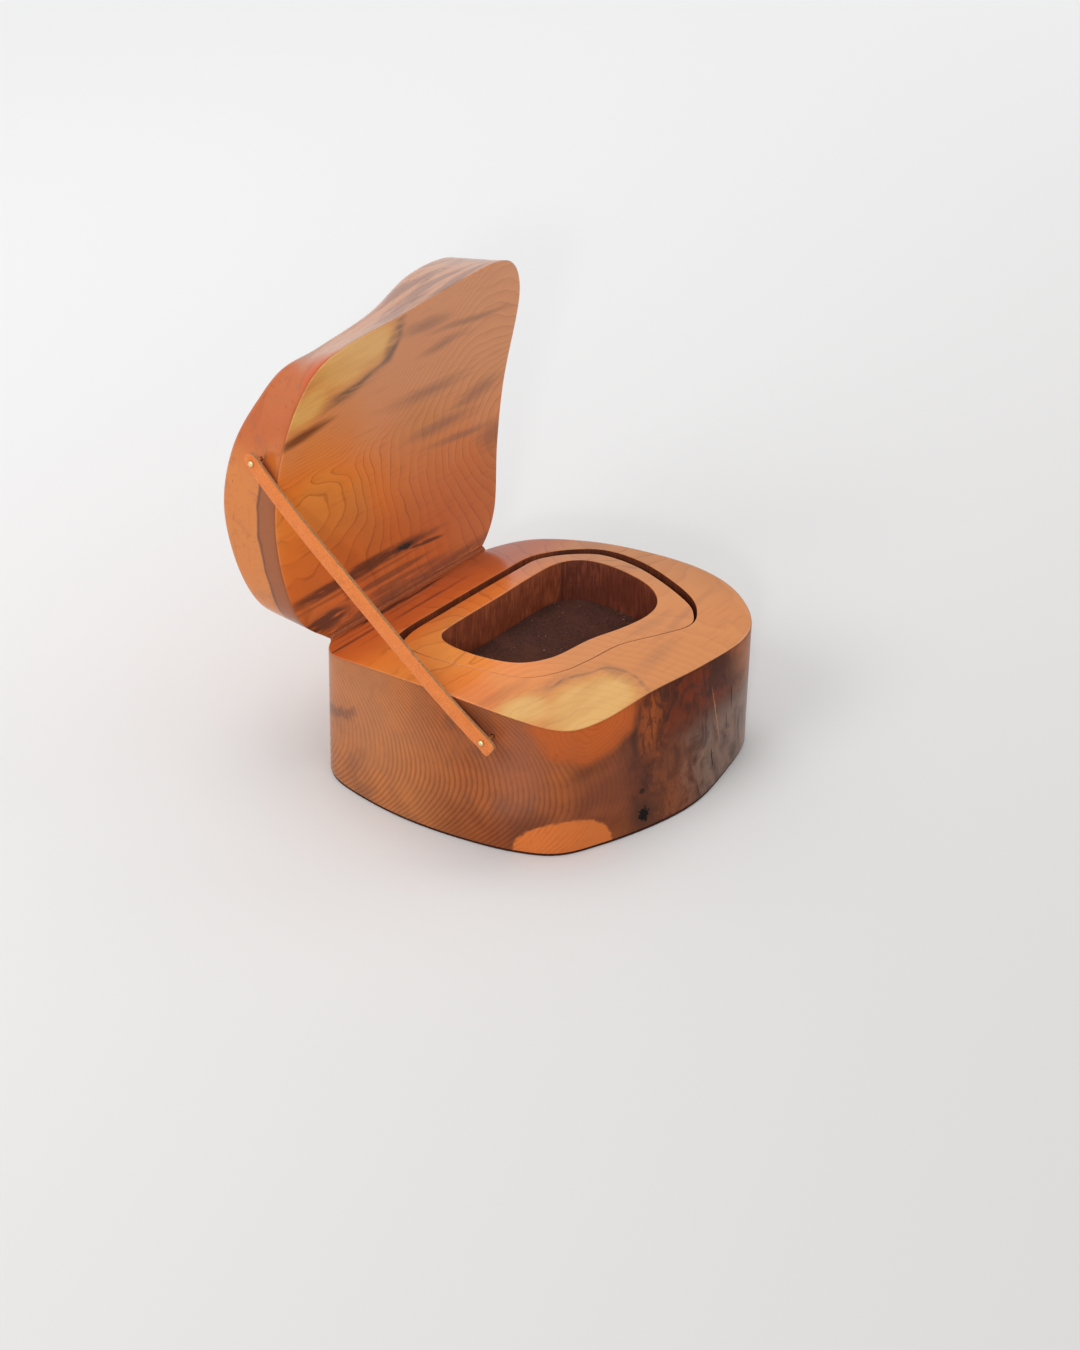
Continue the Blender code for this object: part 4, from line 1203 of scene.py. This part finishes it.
class JEWELBOX_OT_lid(bpy.types.Operator):
    """Build the lid: the arched sawn face, the leaning wall and the domed outer face"""
    bl_idname = "jewelbox.lid"
    bl_label = "Lid"

    def face_point(self, rim_point, share):
        middle = BASE_HEIGHT + LID_MIDDLE_HEIGHT
        height = middle + (rim_point.z - middle) * share ** 2
        return Vector((rim_point.x * share, rim_point.y * share, height))

    def sawn_face(self, place, up=0):
        return straight(place, joint_height(place.y) + CLEARANCE + up)

    def execute(self, context):
        wood = context.scene.jewelbox_wood
        out = outward(BLOCK_LOOP)
        rim = []
        for point, normal, row in zip(BLOCK_LOOP, out, BLOCK_ROWS):
            inner = point - normal * LID_EASE * row[3]
            rim.append(Vector((inner.x, inner.y, BASE_HEIGHT + LID_RIM_HEIGHT * row[2])))
        foot = [raked(p, joint_height(p.y)) for p in BLOCK_LOOP]
        edge = list(zip(foot, out, edge_radii(wood.edge_radius)))

        face_loop = [p.xy - n * r for p, n, r in edge]

        rings = []
        for step in range(1, FACE_STEPS + 1):
            share = step / FACE_STEPS
            rings.append([straight(p * share, joint_height(p.y * share) + CLEARANCE) for p in face_loop])
        for step in range(EDGE_STEPS - 1, -1, -1):
            across, down = corner(step)
            rings.append([self.sawn_face(p.xy - n * r * across, r * down) for p, n, r in edge])
        for step in range(1, WALL_STEPS + 1):
            ring = []
            for (low, _, radius), point in zip(edge, rim):
                high = Vector((point.x, point.y, point.z - LID_ROUNDING))
                start = (CLEARANCE + radius) / (high.z - low.z)
                ring.append(low.lerp(high, between(start, 1, step, WALL_STEPS)))
            rings.append(ring)
        for step in range(1, ROUNDING_STEPS + 1):
            angle = math.pi / 2 * step / ROUNDING_STEPS
            ring = []
            for point in rim:
                eased = self.face_point(point, 1 - LID_ROUNDING * (1 - math.cos(angle)) / point.xy.length)
                ring.append(eased - Vector((0, 0, LID_ROUNDING * (1 - math.sin(angle)))))
            rings.append(ring)
        outer_start = 1 - LID_ROUNDING / (BOX_DEPTH / 2)
        for step in range(FACE_STEPS - 1, 0, -1):
            rings.append([self.face_point(point, outer_start * step / FACE_STEPS) for point in rim])
        tips = (self.sawn_face(Vector((0, 0))), self.face_point(rim[0], 0))
        lid = mesh_piece("box_lid", *ring_skin(rings, tips=tips))
        dress(lid, yew("yew_lid_polished", wood, lid=True, roughness=0.22, shine=0.4),
              sawn_wood("lid_kerf_sawn", (0.24, 0.072, 0.026)))
        saw_joint(lid, "lid", 1, LID_PIN)
        lid.data.transform(OPENING)
        stand_for(lid, "lid", "lid_block")
        return {"FINISHED"}


class JEWELBOX_OT_linings(bpy.types.Operator):
    """Lay the three suede sheets: in the tray, in the pocket and under the base"""
    bl_idname = "jewelbox.linings"
    bl_label = "Suede linings"

    def lay(self, name, loop, low, high, nap):
        """Thin sheet with a soft edge, uneven by the depth of its nap."""
        thickness = high - low
        out = outward(loop)
        rings = [[straight(p, low) for p in shrunk(loop, share)] for share in SHEET_SHARES]
        for step in range(ROUNDING_STEPS + 1):
            angle = math.pi * step / ROUNDING_STEPS
            inwards = thickness * 0.35 * (1 - math.sin(angle))
            height = low + thickness * (1 - math.cos(angle)) / 2
            rings.append([straight(p - n * inwards, height) for p, n in zip(loop, out)])
        for share in reversed(SHEET_SHARES):
            ring = []
            for point in shrunk(loop, share):
                lump = (noise.noise(Vector((point.x, point.y, low)) * 90)
                        + noise.noise(point.to_3d() * 260) / 2)
                ring.append(straight(point, high - nap * (1 + lump)))
            rings.append(ring)
        middle = middle_of(loop)
        tips = (straight(middle, low), straight(middle, high - nap))
        return mesh_piece(name, *ring_skin(rings, tips=tips))

    def declare(self, piece, loop, rests_on):
        area = sum((start.x * end.y - end.x * start.y) / 2 for start, end in sides_of(loop))

    def execute(self, context):
        soft = context.scene.jewelbox_soft
        nap = soft.nap_depth
        opening = shrunk(POCKET_LOOP, SUPPORT_OPENING_SHARE)
        foot = [raked(p, 0).xy for p in BLOCK_LOOP]
        sheets = (
            ("tray_suede", "tray", "tray_lining", inset(CAVITY_LOOP, LINING_INSET), nap, ["tray_base"],
             suede("tray_suede_nap", soft.suede, 31.0)),
            ("pocket_suede", "base", "pocket_lining", inset(opening, LINING_INSET), nap, ["box_base_floor"],
             suede("pocket_suede_nap", soft.suede, 34.0)),
            ("underlay_suede", "base", "base_underlay", inset(foot, UNDERLAY_INSET), 0.0, [],
             suede("underlay_nap", tinted(soft.suede, 0.8), 37.0)),
        )
        for name, body, node, loop, unevenness, rests_on, finish in sheets:
            sheet = self.lay(name, loop, *heights(node), unevenness)
            dress(sheet, finish)
            stand_for(sheet, body, node)
            self.declare(sheet, loop, rests_on)
        return {"FINISHED"}


class JEWELBOX_OT_strap(bpy.types.Operator):
    """Hang the leather stay strap between its pins"""
    bl_idname = "jewelbox.strap"
    bl_label = "Stay strap"

    def stations(self):
        """Centre points and half widths along the strap, from its cut lower end to its round upper end."""
        low = BASE_PIN
        high = OPENING @ LID_PIN
        edge = low.lerp(high, STRAP_EDGE_SHARE)
        beside = wall_crossings(edge.y)[0] - STRAP_EDGE_CLEARANCE - STRAP_THICKNESS / 2
        bow = (edge.x - beside) / (1 - (2 * STRAP_EDGE_SHARE - 1) ** 4)
        along = (high - low).normalized()
        half = STRAP_WIDTH / 2 + STRAP_NAP
        rows = [(low - along * STRAP_BASE_TAIL * share, half * width) for share, width in STRAP_END_SHARES]
        for step in range(STRAP_STEPS + 1):
            t = step / STRAP_STEPS
            point = low.lerp(high, t)
            point.x -= bow * (1 - (2 * t - 1) ** 4)
            rows.append((point, half))
        for step in range(1, STRAP_END_STEPS):
            angle = math.pi / 2 * step / STRAP_END_STEPS
            rows.append((high + along * STRAP_LID_TAIL * math.sin(angle), half * math.cos(angle)))
        return rows

    def section(self, half_width, half_thick):
        """Cross-section with four points round each corner."""
        soft = min(STRAP_EDGE_ROUNDING, half_width * 0.5)
        points = []
        for across, thick, start in ((1, 1, 0), (-1, 1, 90), (-1, -1, 180), (1, -1, 270)):
            for step in range(4):
                angle = math.radians(start + 30 * step)
                points.append(((half_width - soft) * across + soft * math.cos(angle),
                               (half_thick - soft) * thick + soft * math.sin(angle)))
        return points

    def execute(self, context):
        soft = context.scene.jewelbox_soft
        stations = self.stations()
        rings = []
        for index, (point, half_width) in enumerate(stations):
            before = stations[max(index - 1, 0)][0]
            after = stations[min(index + 1, len(stations) - 1)][0]
            tangent = (after - before).normalized()
            outer = Vector((-1, 0, 0)) + tangent * tangent.x
            outer.normalize()
            across = tangent.cross(outer)
            wander = noise.noise(point * 160) * STRAP_WANDER
            section = self.section(half_width - abs(wander), STRAP_THICKNESS / 2)
            rings.append([point + across * width + outer * thick for width, thick in section])
        tips = tuple(sum(ring, Vector()) / len(ring) for ring in (rings[0], rings[-1]))
        verts, faces, _ = ring_skin(rings, tips=tips)
        count = len(rings[0])
        numbers = [1 if face[0] % count in CUT_EDGE_FACES or len(face) == 3 else 0 for face in faces]
        strap = mesh_piece("strap", verts, faces, numbers)
        dress(strap, hide("strap_suede", soft.hide, 0.74, 41.0),
              hide("strap_cut_edge", soft.hide_edge, 0.5, 44.0))
        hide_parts("stay_strap")
        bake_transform(strap)
        return {"FINISHED"}


class JEWELBOX_OT_hinge(bpy.types.Operator):
    """Bend the leather hinge strip over its axis, between the kerfs of base and lid"""
    bl_idname = "jewelbox.hinge"
    bl_label = "Leather hinge"

    def execute(self, context):
        soft = context.scene.jewelbox_soft
        reach = HINGE_BEND_RADIUS
        tangent = reach * math.tan(LID_OPEN_ANGLE / 2)
        line = [(0, -HINGE_LEATHER_DEPTH * share, 0) for share in (1.0, 0.7, 0.4)]
        for step in range(HINGE_BEND_STEPS + 1):
            turn = LID_OPEN_ANGLE * step / HINGE_BEND_STEPS
            line.append((reach * (1 - math.cos(turn)), reach * math.sin(turn) - tangent, turn))
        for share in (0.4, 0.7, 1.0):
            depth = HINGE_LEATHER_DEPTH * share
            line.append((depth * math.sin(LID_OPEN_ANGLE), depth * math.cos(LID_OPEN_ANGLE), LID_OPEN_ANGLE))

        def face(half):
            return [(HINGE_Y + y + half * math.cos(turn), BASE_HEIGHT + z - half * math.sin(turn))
                    for y, z, turn in line]

        half = HINGE_LEATHER_THICKNESS / 2
        profile = face(-half) + face(half)[::-1]
        left, right = wall_crossings(HINGE_Y)
        rings = []
        for step in range(HINGE_LENGTH_STEPS + 1):
            x = between(left - HINGE_END_PROUD, right + HINGE_END_PROUD, step, HINGE_LENGTH_STEPS)
            rings.append([Vector((x, y, z)) for y, z in profile])
        verts, faces, _ = ring_skin(rings)
        last = HINGE_LENGTH_STEPS * len(profile)
        faces.append(tuple(reversed(range(len(profile)))))
        faces.append(tuple(last + index for index in range(len(profile))))
        strip = mesh_piece("hinge_strip", verts, faces)
        dress(strip, hide("hinge_leather_nap", soft.hinge_hide, 0.5, 47.0))
        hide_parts("hinge_leather")
        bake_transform(strip)
        return {"FINISHED"}


class JEWELBOX_OT_pins(bpy.types.Operator):
    """Turn the two domed brass pins that hold the strap"""
    bl_idname = "jewelbox.pins"
    bl_label = "Brass pins"

    def turn(self, name, place):
        face = -STRAP_THICKNESS / 2 - CLEARANCE - PIN_HEAD_RADIUS * PIN_TILT_SHARE
        tip = wall_crossings(place.y)[0] - place.x + PIN_IN_WOOD
        profile = []
        for step in range(1, PIN_DOME_STEPS + 1):
            angle = math.pi / 2 * step / PIN_DOME_STEPS
            profile.append((face - PIN_HEAD_HEIGHT * math.cos(angle), PIN_HEAD_RADIUS * math.sin(angle)))
        profile += [(face, PIN_HEAD_RADIUS * 0.94), (face, PIN_SHANK_RADIUS),
                    (tip - PIN_POINT, PIN_SHANK_RADIUS), (tip - PIN_POINT / 2, PIN_SHANK_RADIUS * 0.6)]
        rings = [[place + Vector((x, y, z)) for y, z in circle(radius)] for x, radius in profile]
        tips = (place + Vector((face - PIN_HEAD_HEIGHT, 0, 0)), place + Vector((tip, 0, 0)))
        return mesh_piece(name, *ring_skin(rings, tips=tips))

    def execute(self, context):
        low = self.turn("strap_pin_low", BASE_PIN)
        dress(low, brass("base_pin_polish", 51.0))
        stand_for(low, "base", "base_strap_pin")
        high = self.turn("strap_pin_high", LID_PIN)
        high.data.transform(OPENING)
        dress(high, brass("lid_pin_polish", 54.0))
        stand_for(high, "lid", "lid_strap_pin")
        return {"FINISHED"}


class JEWELBOX_OT_stage(bpy.types.Operator):
    """Set the pale floor, the soft lamps, the room's light and the camera"""
    bl_idname = "jewelbox.stage"
    bl_label = "Stage"

    def add(self, name, data):
        made = bpy.data.objects.new(name, data)
        bpy.context.scene.collection.objects.link(made)
        return made

    def floor(self, tint):
        """Plain floor that fades into the room far from the box, where only the camera sees it."""
        finish = Finish("floor_paper", 0.7)
        # Painted light and shade: the floor is brighter toward the back and the right of the box and darker
        # in front of it
        drift = (finish.x * -0.15 + finish.y * -0.9).rise(-750.0, 550.0)
        tone = finish.colour(drift, tinted(tint, 1.22), tinted(tint, (0.88, 0.865, 0.845)))
        finish.done(base_color=tone, specular_ior_level=0.1)
        away = Field(finish, finish.vector_math("LENGTH", finish.place))
        glow = finish.node("ShaderNodeEmission")
        glow.inputs["Strength"].default_value = BACKDROP_LEVEL
        seen = Field(finish, finish.node("ShaderNodeLightPath").outputs["Is Camera Ray"])
        blend = finish.node("ShaderNodeMixShader")
        parts = (seen * away.rise(*FLOOR_FADE), finish.shader.outputs[0], glow.outputs[0])
        for socket, value in zip(blend.inputs, parts):
            finish.feed(socket, value)
        finish.feed(finish.tree.nodes["Material Output"].inputs["Surface"], blend.outputs[0])
        bm = bmesh.new()
        bmesh.ops.create_grid(bm, x_segments=8, y_segments=8, size=FLOOR_HALF)
        mesh = bpy.data.meshes.new("floor")
        bm.to_mesh(mesh)
        bm.free()
        floor = self.add("floor", mesh)
        dress(floor, finish.material)

    def lamp(self, name, place, aim_height, power, size):
        data = bpy.data.lights.new(name, "AREA")
        data.shape = "DISK"
        data.size = size
        data.energy = power
        made = self.add(name, data)
        made.location = place
        aim = Vector((0, 0, aim_height)) - Vector(place)
        made.rotation_euler = aim.to_track_quat("-Z", "Y").to_euler()

    def room(self, level):
        """Light from all round: brighter from above and from the left than from the front right."""
        world = bpy.data.worlds.new("room")
        bpy.context.scene.world = world
        world.use_nodes = True
        nodes = Nodes(world.node_tree)
        background = nodes.tree.nodes["Background"]
        nodes.feed(background.inputs["Color"], (1.0, 1.0, 1.0))
        direction = nodes.node("ShaderNodeTexCoord").outputs["Generated"]
        toward = nodes.vector_math("DOT_PRODUCT", direction, Vector((-0.55, 0.25, 0.8)).normalized())
        spread = nodes.node("ShaderNodeMapRange")
        strength = nodes.node("ShaderNodeMix")
        path = nodes.node("ShaderNodeLightPath").outputs
        for socket, value in (
            (spread.inputs["Value"], toward),
            (spread.inputs["From Min"], -0.6),
            (spread.inputs["From Max"], 0.9),
            (spread.inputs["To Min"], level * 0.62),
            (spread.inputs["To Max"], level * 1.25),
            (strength.inputs[0], nodes.calc("MAXIMUM", path["Is Camera Ray"], path["Is Glossy Ray"])),
            (strength.inputs[2], spread.outputs[0]),
            (strength.inputs[3], BACKDROP_LEVEL),
            (background.inputs["Strength"], strength.outputs[0]),
        ):
            nodes.feed(socket, value)

    def camera(self):
        """Camera at the photograph's place."""
        cos, sin = math.cos, math.sin
        back = Vector((sin(CAMERA_AZIMUTH) * cos(CAMERA_ELEVATION),
                       -cos(CAMERA_AZIMUTH) * cos(CAMERA_ELEVATION), sin(CAMERA_ELEVATION)))
        level = (-back).cross(Vector((0, 0, 1))).normalized()
        upward = level.cross(-back)
        right = level * cos(CAMERA_ROLL) + upward * sin(CAMERA_ROLL)
        top = upward * cos(CAMERA_ROLL) - level * sin(CAMERA_ROLL)
        data = bpy.data.cameras.new("camera")
        data.lens = CAMERA_LENS
        data.sensor_width = CAMERA_SENSOR
        data.clip_end = 50.0
        made = self.add("camera", data)
        axes = Matrix((right, top, back)).transposed().to_4x4()
        made.matrix_world = Matrix.Translation(CAMERA_PLACE) @ axes
        bpy.context.scene.camera = made

    def execute(self, context):
        settings = context.scene.jewelbox_stage
        context.scene.view_settings.view_transform = "Standard"
        self.floor(settings.floor)
        self.room(settings.sky_level)
        for name, place, aim_height, power_share, size in LAMPS:
            self.lamp(name, place, aim_height, settings.key_power * power_share, size)
        self.camera()
        return {"FINISHED"}


class JEWELBOX_PT_panel(bpy.types.Panel):
    """Lists the pieces of the jewel box and their settings"""
    bl_label = "Jewel Box"
    bl_idname = "JEWELBOX_PT_panel"
    bl_space_type = "VIEW_3D"
    bl_region_type = "UI"
    bl_category = "Jewel Box"

    def draw(self, context):
        layout = self.layout
        for name, _ in SETTINGS:
            settings = getattr(context.scene, name)
            box = layout.box()
            for setting in settings.__annotations__:
                box.prop(settings, setting)
        column = layout.column()
        for operator in OPERATORS:
            column.operator(operator.bl_idname)


SETTINGS = (
    ("jewelbox_wood", JewelBoxWood),
    ("jewelbox_soft", JewelBoxSoft),
    ("jewelbox_stage", JewelBoxStage),
)
OPERATORS = (JEWELBOX_OT_stage, JEWELBOX_OT_base, JEWELBOX_OT_tray, JEWELBOX_OT_lid, JEWELBOX_OT_linings,
             JEWELBOX_OT_strap, JEWELBOX_OT_hinge, JEWELBOX_OT_pins)


def register():
    for name, group in SETTINGS:
        bpy.utils.register_class(group)
        setattr(bpy.types.Scene, name, PointerProperty(type=group))
    for operator in OPERATORS:
        bpy.utils.register_class(operator)
    bpy.utils.register_class(JEWELBOX_PT_panel)


def unregister():
    bpy.utils.unregister_class(JEWELBOX_PT_panel)
    for operator in reversed(OPERATORS):
        bpy.utils.unregister_class(operator)
    for name, group in reversed(SETTINGS):
        delattr(bpy.types.Scene, name)
        bpy.utils.unregister_class(group)


def main():
    register()
    bpy.ops.jewelbox.stage()
    bpy.ops.jewelbox.base()
    bpy.ops.jewelbox.tray()
    bpy.ops.jewelbox.lid()
    bpy.ops.jewelbox.linings()
    bpy.ops.jewelbox.strap()
    bpy.ops.jewelbox.hinge()
    bpy.ops.jewelbox.pins()


if __name__ == "__main__":
    main()
